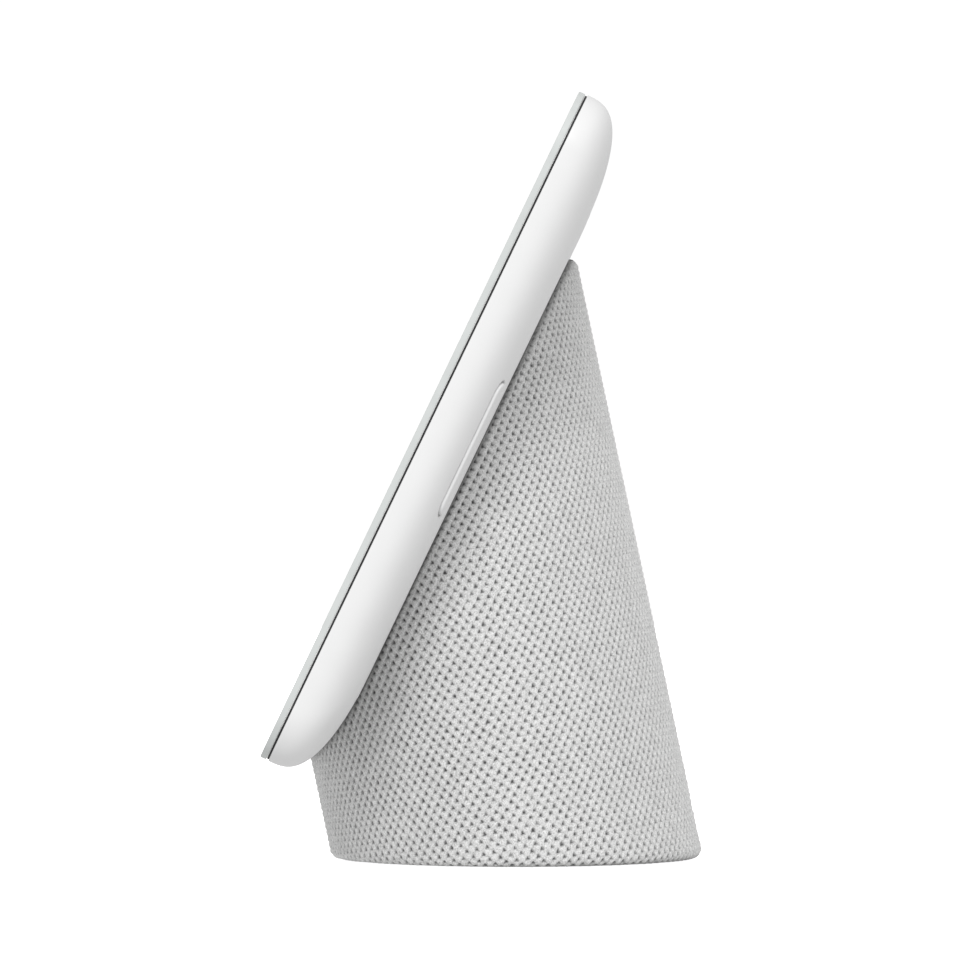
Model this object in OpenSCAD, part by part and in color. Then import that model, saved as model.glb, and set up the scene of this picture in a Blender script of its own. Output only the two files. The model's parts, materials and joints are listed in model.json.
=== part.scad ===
// Tabletop smart display: a leaning display head on a low fabric-covered oval base.
// Millimetres, +Z up, the screen faces -Y, and the origin is on the table under the middle.

/* [Display head] */
// Width of the display
display_w = 178; // [172:0.5:184]
// Height of the display along its own plane
display_h = 112; // [108:0.5:116]
// Corner radius of the display's outline
corner_r = 9; // [7:0.5:12]
// Lean of the display back from upright
display_lean = 25.65; // [24:0.05:27]
// Height of the display's middle above the table
display_z = 67.8; // [66:0.1:70]

/* [Rear shell] */
// Depth of the rear shell behind the gasket
shell_depth = 8.1; // [8.05:0.05:8.6]
// Width of the curved sweep round the shell's edge
sweep_w = 17; // [15:0.5:19]
// Fullness of that sweep
sweep_power = 3.07; // [2.8:0.01:3.4]
// Wall thickness of the rear shell's sides
shell_wall = 1.6; // [1.4:0.1:1.8]
// Wall thickness of the rear shell's flat back
shell_back_wall = 1.25; // [1.2:0.05:1.4]

/* [Glass and screen] */
// Thickness of the cover glass
glass_t = 1; // [0.8:0.1:1.2]
// Thickness of the black gasket between glass and shell
gasket_t = 0.3; // [0.2:0.05:0.4]
// Width of the picture
active_w = 154.2; // [150:0.1:156]
// Height of the picture
active_h = 85.9; // [84:0.1:90]

/* [Base] */
// Width of the fabric base
base_w = 107; // [103:0.5:110]
// Depth of the fabric base at the table
base_d = 58.6; // [57:0.1:60]
// Forward lean of the base
base_lean = 12; // [11:0.1:13]
// Depth of the whole object
overall_d = 68.6; // [68:0.1:70]
// Thickness of the knitted sleeve
fabric_t = 0.9; // [0.7:0.1:1]
// Wall thickness of the base's hard core
core_wall = 2.2; // [2:0.1:2.4]

/* [Volume rocker] */
// Length of the slot for the rocker
rocker_slot_l = 23; // [20:0.5:26]
// Width of the slot for the rocker
rocker_slot_w = 4.8; // [4.6:0.1:5]
// Gap round the rocker
rocker_gap = 0.2; // [0.15:0.05:0.25]

/* [Microphone switch] */
// Travel of the switch knob
knob_travel = 2.4; // [2:0.1:2.6]
// Distance of the switch above the display's middle
knob_y = 40; // [39:0.5:41]

/* [Speaker] */
// Diameter of the driver's flange
driver_d = 43.5; // [42:0.5:44]
// Height of the driver's axis along the leaning base
driver_z = 30.2; // [30:0.1:30.5]

/* [Power inlet] */
// Radius of the bore for the plug
inlet_r = 2.85; // [2.8:0.05:2.9]
// Height of the inlet's axis above the table
inlet_z = 7.2; // [7:0.1:7.4]

/* [Hidden] */

round_fn = 48;
corner_steps = 8;
oval_steps = 72;
eps = 0.05;
far = 200;

// Layers of the display, as distances behind (-) or in front of (+) the shell's front rim
ink_t = 0.1;
ink_z = gasket_t;
glass_z = ink_z + ink_t;
glass_edge_inset = 0.05;
gasket_inset = 0.25;
lcd_size = [164.9, 100, 1.45];
lcd_z = -1.2;
backlight_t = 2.2;
backlight_z = lcd_z - backlight_t;
frame_t = 1;
frame_z = backlight_z - eps - frame_t;
board_t = 0.8;
board_z = frame_z - 0.15 - board_t;
chip_t = 0.85;
inner_depth = shell_depth - shell_back_wall;
spreader_t = 0.45;
spreader_z = -inner_depth + eps;

// Border ink, with the window for the picture
ink_inset = 0.3;
window_gap = 0.2;

// Microphones and light sensor, in a row under the top border
mic_row_y = 52.2;
mic_x = 17.5;
mic_hole_r = 0.5;
mic_size = [3.5, 2.6, 0.9];
mic_seal_r = 1.2;
mic_board_size = [48, 3, 0.6];
mic_board_z = -1.5;
sensor_hole_r = 0.9;
sensor_size = [2, 1.8, 0.8];

// Boards in the head; chips and cans are given as [x, y, width, height]
board_place = [-3, -5];
board_size = [106, 66];
chips = [[-32, 14, 14, 14], [-12, 18, 10, 12], [24, -26, 9, 9], [8, -30, 6, 5], [34, 20, 7, 7]];
cans = [[-22, -24, 24, 18], [18, 8, 22, 16]];
can_skin = 0.2;
antenna_place = [58, 40];
antenna_size = [22, 5, 0.3];
ribbon_window_y = -12;
ribbon_window_size = [18, 12];
ribbon_w = 10;

// Stations of the shell's edge sweep, closer together where it curves most
sweep_angles = [90, 83, 75, 66, 57, 48, 39, 30, 21, 13, 7, 3, 0];

// Where the two leaning frames stand
sin_lean = sin(display_lean);
cos_lean = cos(display_lean);
glass_half_h = display_h / 2 - glass_edge_inset;
glass_front = glass_z + glass_t;
display_y = -overall_d / 2 + glass_half_h * sin_lean + glass_front * cos_lean;
hem_z = 0.4;
base_y = overall_d / 2 - base_d / 2 + hem_z * tan(base_lean);
base_a = base_w / 2;
base_b = base_d / 2 * cos(base_lean);
core_inset = fabric_t + eps;
room_inset = core_inset + core_wall;
seat_gap = 0.15;

// Volume rocker, in the display's own frame
rocker_x = display_w / 2 - 8.35;
rocker_pin_z = -5.85;
rocker_pin_r = 0.4;
rocker_under_z = -6.4;
rocker_ear = [1.3, 3];
rocker_lug = [1.2, 2.6];
rocker_lug_x = 1.5;
rocker_presser = 1.6;
presser_gap = 0.25;
volume_board_z = -4.9;
volume_board_size = [4.6, 26, 0.35];
tact_y = 8;
tact_top_z = -5.8;
tact_size = [3, 2.6, 0.6];
tact_dome_r = 0.6;
flex_start_x = 50.2;
flex_size = [4, 0.15];

// Microphone switch, in the display's own frame
recess_size = [8.3, 4.1];
recess_depth = 0.7;
recess_floor_z = -shell_depth + recess_depth;
knob_size = [5.2, 3.6, 0.65];
knob_rest_x = -knob_travel / 2;
grip_groove = [0.25, 2.6, 0.15];
grip_pitch = 0.7;
stem_size = [2, 1.6];
stem_tip_z = -6.2;
stem_gap = 0.5;
switch_body_size = [8, 3.6];
switch_body_z = -6.65;
switch_board_size = [18, 8];
flag_x = -recess_size[0] / 2 + 1.05;
flag_size = [1, 1.5, 0.15];
flag_pocket = [1.1, 1.6];

// Screw places
frame_screw_places = [for (x = [-1, 1], y = [-1, 1]) [x * 74, y * 42]];
neck_screw_places = [for (x = [-1, 1], y = [-24, -2]) [x * 40, y]];
base_screw_places = [for (x = [-1, 1], y = [-1, 1]) [x * 43.5, y * 6]];
baffle_screw_places = [for (x = [-1, 1], z = [12, 50.5]) [x * 25.5, z]];

// Screws: shank radius, then [radius, height] of the head, then the hole and boss radii
thread_gap = 0.02;
frame_screw_r = 0.8;
frame_screw_head = [1.7, 0.55];
frame_screw_hole_r = 1;
frame_screw_sink_r = 1.9;
frame_screw_boss_r = 2.2;
neck_screw_r = 1;
neck_screw_head = [2, 1.3];
neck_screw_hole_r = 1.3;
neck_screw_boss_r = 2.4;
neck_screw_tip_z = -5.1;
base_screw_r = 1.05;
base_screw_head = [2.1, 1.15];
base_screw_hole_r = 1.3;
base_screw_sink_r = 2.3;
base_screw_boss_r = 2.6;
base_screw_l = 6;
baffle_screw_r = 1;
baffle_screw_head = [1.9, 1];
baffle_screw_hole_r = 1.2;
baffle_screw_boss_r = 2.2;
baffle_screw_tip_y = 12.5;
baffle_boss_y = 11;

// Neck bracket, a plate with a window and a gap for the ribbon cable
neck_plate_size = [88, 32, 1.2];
neck_plate_y = -14;
neck_plate_window = [62, 18];
neck_plate_z = -shell_depth - seat_gap - 2 - eps;

// Speaker, as distances from the base's middle towards its back
baffle_y = 18.6;
baffle_t = 1.6;
baffle_front = baffle_y + baffle_t;
box_half_w = 29.5;
box_wall = 1.6;
box_bottom_z = 8.2;
box_top_z = 54.5;
flange_seat = 1.2;
pole_r = 5;
magnet_hole_r = 6.6;
coil_r = 5.25;
coil_wall = 0.4;
coil_y = 5;
coil_l = 7.6;
motor_r = 11.3;
yoke_y = 2;
magnet_y = 3.4;
front_plate_y = 7;
front_plate_top = 8.6;
cone_r = 16.8;
spider_y = 11.4;
spider_r = 14;
spider_t = 0.3;
driver_r = driver_d / 2;

// Base floor
plate_z = 0.9;
plate_t = 2.4;
ballast_z = 3.5;
ballast_t = 4.7;
ballast_a = 39.5;
ballast_b = 19.5;
ballast_y = -1.2;
ballast_notch = [26, 20];
ballast_notch_y = 12;
core_boss_h = 5.5;
core_rib = [5.2, 1.6];
core_rib_x = 46.8;
foot_a = 37;
foot_b = 23;

// Sound slots round the back of the base's core
sound_slots = 13;
sound_slot_size = [2, 30];
sound_slot_pitch = 4.4;
sound_slot_z = 16;

// Power inlet, as distances from the table's middle towards the back
jack_r = 3.6;
jack_face_y = 31.5;
guide_l = 2.5;
jack_back_y = 20.6;
jack_pin_r = 1.02;
jack_pin_l = 6.6;
jack_floor_t = 1.2;
bezel_r = 4.6;
bezel_recess = 0.05;
bezel_start_y = 29;
bezel_gap = 0.1;
jack_board_size = [22, 1.4, 6.9];
jack_board_z = 3.5;

// ---- frames and outlines ----

module on_display() {
    translate([0, display_y, display_z]) rotate([90 - display_lean, 0, 0]) children();
}

module on_base() {
    translate([0, base_y, 0]) rotate([base_lean, 0, 0]) children();
}

// Extrudes a (y, z) outline along X
module along_x(length) {
    rotate([90, 0, 90]) linear_extrude(length, center = true) children();
}

// Extrudes an (x, z) outline along Y
module along_y(length) {
    rotate([90, 0, 0]) linear_extrude(length, center = true) children();
}

// Turns a lathe shape so that its axis runs along +Y through the driver's middle
module on_driver() {
    on_base() translate([0, 0, driver_z]) rotate([-90, 0, 0]) children();
}

module on_inlet(y) {
    translate([0, y, inlet_z]) rotate([-90, 0, 0]) children();
}

module block(x, y, z, size) {
    translate([x - size[0] / 2, y - size[1] / 2, z]) cube(size);
}

module disc(r, h) {
    cylinder(r = r, h = h, $fn = round_fn);
}

module stadium(length, width) {
    square([length - width, width], center = true);
    for (side = [-1, 1]) {
        translate([side * (length - width) / 2, 0]) circle(d = width, $fn = round_fn);
    }
}

function outline(w, h, r) = [
    for (corner = [0:3], step = [0:corner_steps])
        let (a = 90 * corner + 90 * step / corner_steps,
             cx = (corner == 0 || corner == 3 ? 1 : -1) * (w / 2 - r),
             cy = (corner < 2 ? 1 : -1) * (h / 2 - r))
        [cx + r * cos(a), cy + r * sin(a)]
];

module rounded_plate(w, h, r, t) {
    linear_extrude(t) polygon(outline(w, h, r));
}

function oval(a, b) = [
    for (step = [0:oval_steps - 1])
        let (angle = 360 * step / oval_steps)
        [a * cos(angle), b * sin(angle)]
];

// The shell's edge sweep: inset from the outline and depth behind the rim
function sweep_inset(angle, reach) = reach * (1 - cos(angle));
function sweep_depth(angle, depth) = depth * pow(sin(angle), 2 / sweep_power);

// A pillow: a rounded rectangle whose edge sweeps round into a flat back
module pillow(w, h, r, depth, reach, front) {
    rings = concat(
        [for (a = sweep_angles)
            let (s = sweep_inset(a, reach))
            [for (p = outline(w - 2 * s, h - 2 * s, r)) [p[0], p[1], -sweep_depth(a, depth)]]],
        front > 0 ? [[for (p = outline(w, h, r)) [p[0], p[1], front]]] : []
    );
    n = len(rings[0]);
    last = len(rings) - 1;
    points = [for (ring = rings, p = ring) p];
    sides = [
        for (k = [0:last - 1], i = [0:n - 1])
            let (j = (i + 1) % n)
            [k * n + i, (k + 1) * n + i, (k + 1) * n + j, k * n + j]
    ];
    back = [[for (i = [0:n - 1]) i]];
    rim = [[for (i = [n - 1:-1:0]) last * n + i]];
    polyhedron(points = points, faces = concat(back, sides, rim), convexity = 6);
}

// Everything in front of the display's back, kept clear by a gap, as a (y, z) outline
function back_outline(gap) = concat(
    [[-display_h / 2 - gap, far]],
    [for (i = [len(sweep_angles) - 1:-1:0])
        [-display_h / 2 - gap + sweep_inset(sweep_angles[i], sweep_w),
         -sweep_depth(sweep_angles[i], shell_depth + gap)]],
    [[far, -shell_depth - gap], [far, far]]
);

module in_front_of_base(gap) {
    on_display() along_x(2 * far) polygon(back_outline(gap));
}

// The leaning oval column, pulled in by an inset, between the table and the display
module base_column(inset, low_z, gap) {
    difference() {
        on_base() translate([0, 0, -far / 10])
            linear_extrude(far * 0.65) polygon(oval(base_a - inset, base_b - inset));
        translate([-far, -far, low_z - far]) cube([2 * far, 2 * far, far]);
        in_front_of_base(gap);
    }
}

// ---- glass and screen ----

module cover_glass() {
    color([0.86, 0.9, 0.88, 0.5]) on_display() difference() {
        translate([0, 0, glass_z]) rounded_plate(
            display_w - 2 * glass_edge_inset, display_h - 2 * glass_edge_inset, corner_r, glass_t);
        mic_holes();
    }
}

module border_ink() {
    color("gainsboro") on_display() difference() {
        translate([0, 0, ink_z])
            rounded_plate(display_w - 2 * ink_inset, display_h - 2 * ink_inset, corner_r, ink_t);
        block(0, 0, ink_z - 1, [active_w + 2 * window_gap, active_h + 2 * window_gap, 2]);
        mic_holes();
        translate([0, mic_row_y, ink_z - 1]) disc(sensor_hole_r, 2);
    }
}

module optical_adhesive() {
    color([0.9, 0.9, 0.9, 0.4]) on_display() block(0, 0, ink_z, [active_w, active_h, ink_t]);
}

module glass_gasket() {
    rim_w = 1.3;
    color("black") on_display() linear_extrude(gasket_t) difference() {
        polygon(outline(display_w - 2 * gasket_inset, display_h - 2 * gasket_inset, corner_r));
        polygon(outline(display_w - 2 * rim_w, display_h - 2 * rim_w, corner_r - 1));
    }
}

module lcd_panel() {
    color("dimgray") on_display() block(0, 0, lcd_z, lcd_size);
}

module backlight_unit() {
    color("white") on_display() block(0, 0, backlight_z, [lcd_size[0], lcd_size[1], backlight_t]);
}

// ---- microphones and light sensor under the top border ----

module mic_holes() {
    for (side = [-1, 1]) {
        translate([side * mic_x, mic_row_y, -1]) disc(mic_hole_r, 4);
    }
}

module light_sensor() {
    color("black") on_display() block(0, mic_row_y, -mic_size[2], sensor_size);
}

module microphones() {
    color("silver") on_display() for (side = [-1, 1]) {
        block(side * mic_x, mic_row_y, -mic_size[2], mic_size);
    }
}

module mic_seals() {
    color("dimgray") on_display() for (side = [-1, 1]) {
        translate([side * mic_x, mic_row_y, 0]) difference() {
            disc(mic_seal_r, ink_z);
            translate([0, 0, -1]) disc(mic_hole_r, 3);
        }
    }
}

module mic_board() {
    color("seagreen") on_display() block(0, mic_row_y, mic_board_z, mic_board_size);
}

// ---- frame and electronics in the head ----

module mid_frame() {
    rib = [1.1, 90];
    rib_x = lcd_size[0] / 2 + 0.9;
    rim = [3, 1];
    sink_z = frame_z + 0.35;
    boss_h = frame_z + inner_depth - eps;
    color("gray") on_display() difference() {
        union() {
            translate([0, 0, frame_z])
                rounded_plate(lcd_size[0] + rim[0], lcd_size[1] + rim[1], 5, frame_t);
            for (side = [-1, 1]) {
                block(side * rib_x, 0, frame_z, [rib[0], rib[1], -frame_z - 0.3]);
            }
            for (p = neck_screw_places) {
                translate([p[0], p[1], frame_z - boss_h]) disc(neck_screw_boss_r, boss_h + frame_t / 2);
            }
        }
        for (p = frame_screw_places) {
            translate([p[0], p[1], frame_z - 1]) disc(frame_screw_hole_r, 3);
            translate([p[0], p[1], sink_z]) disc(frame_screw_sink_r, 2);
        }
        for (p = neck_screw_places) {
            translate([p[0], p[1], frame_z - boss_h - 1])
                disc(neck_screw_r + thread_gap, boss_h + 0.5);
        }
    }
}

module neck_clearances(low_z, height) {
    for (p = neck_screw_places) {
        translate([p[0], p[1], low_z]) disc(neck_screw_boss_r + 0.4, height);
    }
}

module ribbon_window(low_z, height) {
    translate([0, ribbon_window_y, low_z]) linear_extrude(height)
        stadium(ribbon_window_size[0], ribbon_window_size[1]);
}

module main_board() {
    color("darkgreen") on_display() difference() {
        block(board_place[0], board_place[1], board_z, [board_size[0], board_size[1], board_t]);
        neck_clearances(board_z - 1, 3);
    }
}

module board_chips() {
    color("black") on_display() for (c = chips) {
        block(c[0], c[1], board_z - chip_t, [c[2], c[3], chip_t]);
    }
}

module shield_cans() {
    skin = can_skin;
    color("silver") on_display() for (c = cans) {
        difference() {
            block(c[0], c[1], board_z - chip_t, [c[2], c[3], chip_t]);
            block(c[0], c[1], board_z - chip_t + skin, [c[2] - 2 * skin, c[3] - 2 * skin, chip_t]);
        }
    }
}

module heat_spreader() {
    color("lightgray") on_display() difference() {
        block(board_place[0], board_place[1], spreader_z,
            [board_size[0], board_size[1], spreader_t]);
        neck_clearances(spreader_z - 1, 3);
        ribbon_window(spreader_z - 1, 3);
    }
}

module wifi_antennas() {
    color("goldenrod") on_display() for (side = [-1, 1]) {
        block(side * antenna_place[0], antenna_place[1], board_z, antenna_size);
    }
}

// ---- rear shell ----

module rocker_slot() {
    translate([rocker_x, 0, -shell_depth - 1]) linear_extrude(shell_depth - 2)
        rotate(90) stadium(rocker_slot_l, rocker_slot_w);
}

module knob_slot() {
    translate([0, knob_y, -shell_depth - 1]) linear_extrude(recess_depth + 1)
        stadium(recess_size[0], recess_size[1]);
    translate([0, knob_y, -shell_depth - 1]) linear_extrude(shell_wall + 2)
        square([stem_size[0] + knob_travel + stem_gap, stem_size[1] + stem_gap], center = true);
    block(flag_x, knob_y, recess_floor_z - 1, [flag_pocket[0], flag_pocket[1], flag_size[2] + 1.02]);
}

module rear_shell() {
    wall = shell_wall;
    root = 0.4;
    boss_z = frame_z - eps;
    color("white") on_display() difference() {
        union() {
            difference() {
                pillow(display_w, display_h, corner_r, shell_depth, sweep_w, 0);
                pillow(display_w - 2 * wall, display_h - 2 * wall, corner_r - wall / 2,
                    inner_depth, sweep_w - wall, 1);
            }
            for (p = frame_screw_places) {
                translate([p[0], p[1], -inner_depth - root])
                    disc(frame_screw_boss_r, inner_depth + root + boss_z);
            }
        }
        for (p = frame_screw_places) {
            translate([p[0], p[1], -inner_depth]) disc(frame_screw_r + thread_gap, inner_depth);
        }
        for (p = neck_screw_places) {
            translate([p[0], p[1], -shell_depth - 1]) disc(neck_screw_hole_r, shell_wall + 2);
        }
        rocker_slot();
        knob_slot();
        ribbon_window(-shell_depth - 1, shell_wall + 2);
    }
}

module frame_screws() {
    head_z = frame_z + 0.38;
    tip_z = -inner_depth + 0.5;
    color("silver") on_display() for (p = frame_screw_places) {
        translate([p[0], p[1], head_z]) disc(frame_screw_head[0], frame_screw_head[1]);
        translate([p[0], p[1], tip_z]) disc(frame_screw_r, head_z - tip_z);
    }
}

// ---- volume rocker ----

// The shell's outer curve at the right-hand edge, closed at the rocker's underside
function rocker_outline() = concat(
    [[display_w / 2, rocker_under_z]],
    [for (i = [len(sweep_angles) - 1:-1:0])
        let (d = sweep_depth(sweep_angles[i], shell_depth))
        if (-d < rocker_under_z)
        [display_w / 2 - sweep_inset(sweep_angles[i], sweep_w), -d]],
    [for (z = [-shell_depth, rocker_under_z]) [display_w / 2 - sweep_w - 2, z]]
);

module volume_rocker() {
    root = 0.2;
    lug_bottom_z = rocker_pin_z + 0.85;
    presser_z = tact_top_z - presser_gap;
    color("whitesmoke") on_display() difference() {
        union() {
            intersection() {
                along_y(rocker_slot_l + 2) polygon(rocker_outline());
                translate([rocker_x, 0, -shell_depth - 1]) linear_extrude(shell_depth) rotate(90)
                    stadium(rocker_slot_l - 2 * rocker_gap, rocker_slot_w - 2 * rocker_gap);
            }
            for (side = [-1, 1]) {
                block(rocker_x + side * rocker_lug_x, 0, rocker_under_z - root,
                    [rocker_lug[0], rocker_lug[1], lug_bottom_z - rocker_under_z + root]);
                block(rocker_x, side * tact_y, rocker_under_z - root,
                    [rocker_presser, rocker_presser, presser_z - rocker_under_z + root]);
            }
        }
        block(rocker_x, 0, rocker_under_z - 0.5, [rocker_ear[0] + 0.4, rocker_ear[1] + 1.4, 1]);
        translate([rocker_x - 4, 0, rocker_pin_z]) rotate([0, 90, 0]) disc(rocker_pin_r + 0.05, 8);
    }
}

module rocker_pin() {
    length = 4.1;
    color("silver") on_display() translate([rocker_x - length / 2, 0, rocker_pin_z])
        rotate([0, 90, 0]) disc(rocker_pin_r, length);
}

module rocker_bracket() {
    ear_top = -rocker_pin_z + 0.75;
    foot = [rocker_ear[0], 7, 0.3];
    color("gray") on_display() difference() {
        union() {
            block(rocker_x, 0, -ear_top, [rocker_ear[0], rocker_ear[1], ear_top + volume_board_z]);
            block(rocker_x, 0, volume_board_z - foot[2], foot);
        }
        translate([rocker_x - 4, 0, rocker_pin_z]) rotate([0, 90, 0])
            disc(rocker_pin_r + thread_gap, 8);
    }
}

module volume_switches() {
    color("black") on_display() for (side = [-1, 1]) {
        block(rocker_x, side * tact_y, volume_board_z - tact_size[2], tact_size);
        translate([rocker_x, side * tact_y, tact_top_z])
            disc(tact_dome_r, volume_board_z - tact_top_z - tact_size[2] / 2);
    }
}

module volume_board() {
    color("darkgreen") on_display() block(rocker_x, 0, volume_board_z, volume_board_size);
}

module volume_flex() {
    end_x = rocker_x - 2.5;
    color("orange") on_display()
        block((flex_start_x + end_x) / 2, 0, frame_z - 0.25,
            [end_x - flex_start_x, flex_size[0], flex_size[1]]);
}

// ---- microphone switch ----

module mic_switch_knob() {
    cap_z = recess_floor_z - 0.03;
    color("whitesmoke") on_display() translate([knob_rest_x, knob_y, 0]) difference() {
        union() {
            translate([0, 0, cap_z - knob_size[2]]) linear_extrude(knob_size[2])
                stadium(knob_size[0], knob_size[1]);
            block(0, 0, cap_z, [stem_size[0], stem_size[1], stem_tip_z - cap_z]);
        }
        for (i = [-2:2]) {
            block(i * grip_pitch, 0, cap_z - knob_size[2] - 1,
                [grip_groove[0], grip_groove[1], grip_groove[2] + 1]);
        }
    }
}

module mic_switch_body() {
    slot = [stem_size[0] + knob_travel + 0.6, stem_size[1] + stem_gap, 0.6];
    size = [switch_body_size[0], switch_body_size[1], board_z - switch_body_z];
    color("dimgray") on_display() difference() {
        block(0, knob_y, switch_body_z, size);
        block(0, knob_y, switch_body_z - 1, [slot[0], slot[1], slot[2] + 1]);
    }
}

module switch_board() {
    color("darkgreen") on_display()
        block(0, knob_y, board_z, [switch_board_size[0], switch_board_size[1], board_t]);
}

module mute_flag() {
    color("darkorange") on_display()
        block(flag_x, knob_y, recess_floor_z, flag_size);
}

// ---- neck ----

module neck_bracket() {
    size = neck_plate_size;
    window = neck_plate_window;
    notch = [14, 14, 3];
    color("silver") on_display() difference() {
        translate([0, neck_plate_y, neck_plate_z - size[2]])
            rounded_plate(size[0], size[1], 3, size[2]);
        translate([0, neck_plate_y + 1, neck_plate_z - 2]) rounded_plate(window[0], window[1], 3, 3);
        block(0, neck_plate_y - 12, neck_plate_z - 2, notch);
        for (p = neck_screw_places) {
            translate([p[0], p[1], neck_plate_z - 2]) disc(neck_screw_r + 0.15, 3);
        }
    }
}

module neck_screws() {
    seat_z = neck_plate_z - neck_plate_size[2];
    head = neck_screw_head;
    color("silver") on_display() for (p = neck_screw_places) {
        translate([p[0], p[1], seat_z - head[1]]) disc(head[0], head[1]);
        translate([p[0], p[1], seat_z]) disc(neck_screw_r, neck_screw_tip_z - seat_z);
    }
}

// ---- base ----

module inlet_clearance(r) {
    on_inlet(0) disc(r, far);
}

module base_core() {
    floor_z = plate_z + plate_t + eps;
    boss_top = plate_z + plate_t + core_boss_h;
    color("lightgray") difference() {
        union() {
            difference() {
                base_column(core_inset, plate_z, seat_gap);
                base_column(room_inset, plate_z - 1, seat_gap + 2);
            }
            for (p = base_screw_places) {
                translate([p[0], base_y + p[1], floor_z]) disc(base_screw_boss_r, core_boss_h);
                block(sign(p[0]) * core_rib_x, base_y + p[1], floor_z,
                    [core_rib[0], core_rib[1], core_boss_h]);
            }
        }
        for (p = base_screw_places) {
            translate([p[0], base_y + p[1], 0]) disc(base_screw_r + thread_gap, boss_top - 0.5);
        }
        on_display() {
            for (p = neck_screw_places) {
                translate([p[0], p[1], -shell_depth - 4]) disc(neck_screw_hole_r, 5);
            }
            ribbon_window(-shell_depth - 4, 5);
        }
        for (i = [0:sound_slots - 1]) {
            x = (i - (sound_slots - 1) / 2) * sound_slot_pitch - sound_slot_size[0] / 2;
            on_base() translate([x, 0, sound_slot_z])
                cube([sound_slot_size[0], far, sound_slot_size[1]]);
        }
        inlet_clearance(bezel_r + bezel_gap);
    }
}

module fabric_sleeve() {
    color("silver") difference() {
        base_column(0, hem_z, seat_gap);
        base_column(fabric_t, hem_z - 1, seat_gap - 5);
        inlet_clearance(bezel_r + bezel_gap);
    }
}

// ---- speaker ----

function box_outline(wall) = [
    [baffle_y + (wall > 0 ? 1 : 0), box_bottom_z + wall],
    [baffle_y + (wall > 0 ? 1 : 0), box_top_z - wall],
    [9.5 + 0.45 * wall, box_top_z - wall],
    [-17.5 + wall, 19.5 - 0.3 * wall],
    [-17.5 + wall, 13.2 + 0.9 * wall]
];

module speaker_box() {
    color("dimgray") on_base() difference() {
        union() {
            difference() {
                along_x(2 * box_half_w) polygon(box_outline(0));
                along_x(2 * (box_half_w - box_wall)) polygon(box_outline(box_wall));
            }
            for (p = baffle_screw_places) {
                translate([p[0], baffle_boss_y, p[1]]) rotate([-90, 0, 0])
                    disc(baffle_screw_boss_r, baffle_y - baffle_boss_y);
            }
        }
        for (p = baffle_screw_places) {
            translate([p[0], baffle_boss_y + 1, p[1]]) rotate([-90, 0, 0])
                disc(baffle_screw_r + thread_gap, far);
        }
    }
}

module speaker_baffle() {
    height = box_top_z - box_bottom_z;
    color("dimgray") on_base() difference() {
        translate([-box_half_w, baffle_y, box_bottom_z]) cube([2 * box_half_w, baffle_t, height]);
        translate([0, 0, driver_z]) rotate([-90, 0, 0]) disc(driver_r - flange_seat, far);
        for (p = baffle_screw_places) {
            translate([p[0], 0, p[1]]) rotate([-90, 0, 0]) disc(baffle_screw_hole_r, far);
        }
    }
}

module speaker_basket() {
    color("gray") difference() {
        on_driver() rotate_extrude($fn = round_fn) polygon([
            [driver_r - 2, baffle_front + 1], [driver_r, baffle_front + 1], [driver_r, baffle_front],
            [driver_r - 1.5, baffle_front], [13.6, front_plate_top], [8, front_plate_top],
            [8, front_plate_top + 0.8], [12.9, front_plate_top + 0.8], [driver_r - 2, baffle_front]
        ]);
        for (turn = [45:90:315]) {
            on_driver() rotate(turn) translate([8, -4, front_plate_top + 2]) cube([20, 8, 6]);
        }
    }
}

module speaker_yoke() {
    color("silver") on_driver() {
        translate([0, 0, yoke_y]) disc(motor_r, magnet_y - yoke_y);
        translate([0, 0, yoke_y]) disc(pole_r, front_plate_top - yoke_y);
    }
}

module speaker_magnet() {
    color("dimgray") on_driver() translate([0, 0, magnet_y]) difference() {
        disc(motor_r, front_plate_y - magnet_y);
        translate([0, 0, -1]) disc(magnet_hole_r, 10);
    }
}

module front_plate() {
    color("silver") on_driver() translate([0, 0, front_plate_y]) difference() {
        disc(motor_r - 0.4, front_plate_top - front_plate_y);
        translate([0, 0, -1]) disc(coil_r + coil_wall + 0.3, 10);
    }
}

module voice_coil() {
    color("peru") on_driver() translate([0, 0, coil_y]) difference() {
        disc(coil_r + coil_wall, coil_l);
        translate([0, 0, -1]) disc(coil_r, 10);
    }
}

module speaker_cone() {
    throat_r = coil_r + coil_wall + eps;
    color("dimgray") on_driver() rotate_extrude($fn = round_fn) polygon([
        [throat_r, 11.9], [throat_r, 12.4], [cone_r, 20.6], [cone_r, 20.1]
    ]);
}

module dust_cap() {
    color("black") on_driver() rotate_extrude($fn = round_fn) polygon([
        [0, 15.2], [0, 14.8], [2.9, 14.4], [4.8, 13.7], [6, 13], [6.5, 13.1], [5.1, 14.1], [3, 14.85]
    ]);
}

module speaker_surround() {
    outer_r = driver_r - 2;
    roll_r = (outer_r - cone_r) / 2 - eps;
    roll_t = 0.35;
    color("black") on_driver() rotate_extrude($fn = round_fn)
        translate([(outer_r + cone_r) / 2, baffle_front + 0.3]) difference() {
            circle(r = roll_r, $fn = round_fn);
            circle(r = roll_r - roll_t, $fn = round_fn);
            translate([-5, -10]) square([10, 10]);
        }
}

module speaker_spider() {
    color("orange") on_driver() translate([0, 0, spider_y]) difference() {
        disc(spider_r, spider_t);
        translate([0, 0, -1]) disc(coil_r + coil_wall + eps, 3);
    }
}

module speaker_screws() {
    color("silver") on_base() for (p = baffle_screw_places) {
        translate([p[0], baffle_front, p[1]]) rotate([-90, 0, 0])
            disc(baffle_screw_head[0], baffle_screw_head[1]);
        translate([p[0], baffle_screw_tip_y, p[1]]) rotate([-90, 0, 0])
            disc(baffle_screw_r, baffle_front - baffle_screw_tip_y);
    }
}

// ---- floor of the base ----

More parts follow.
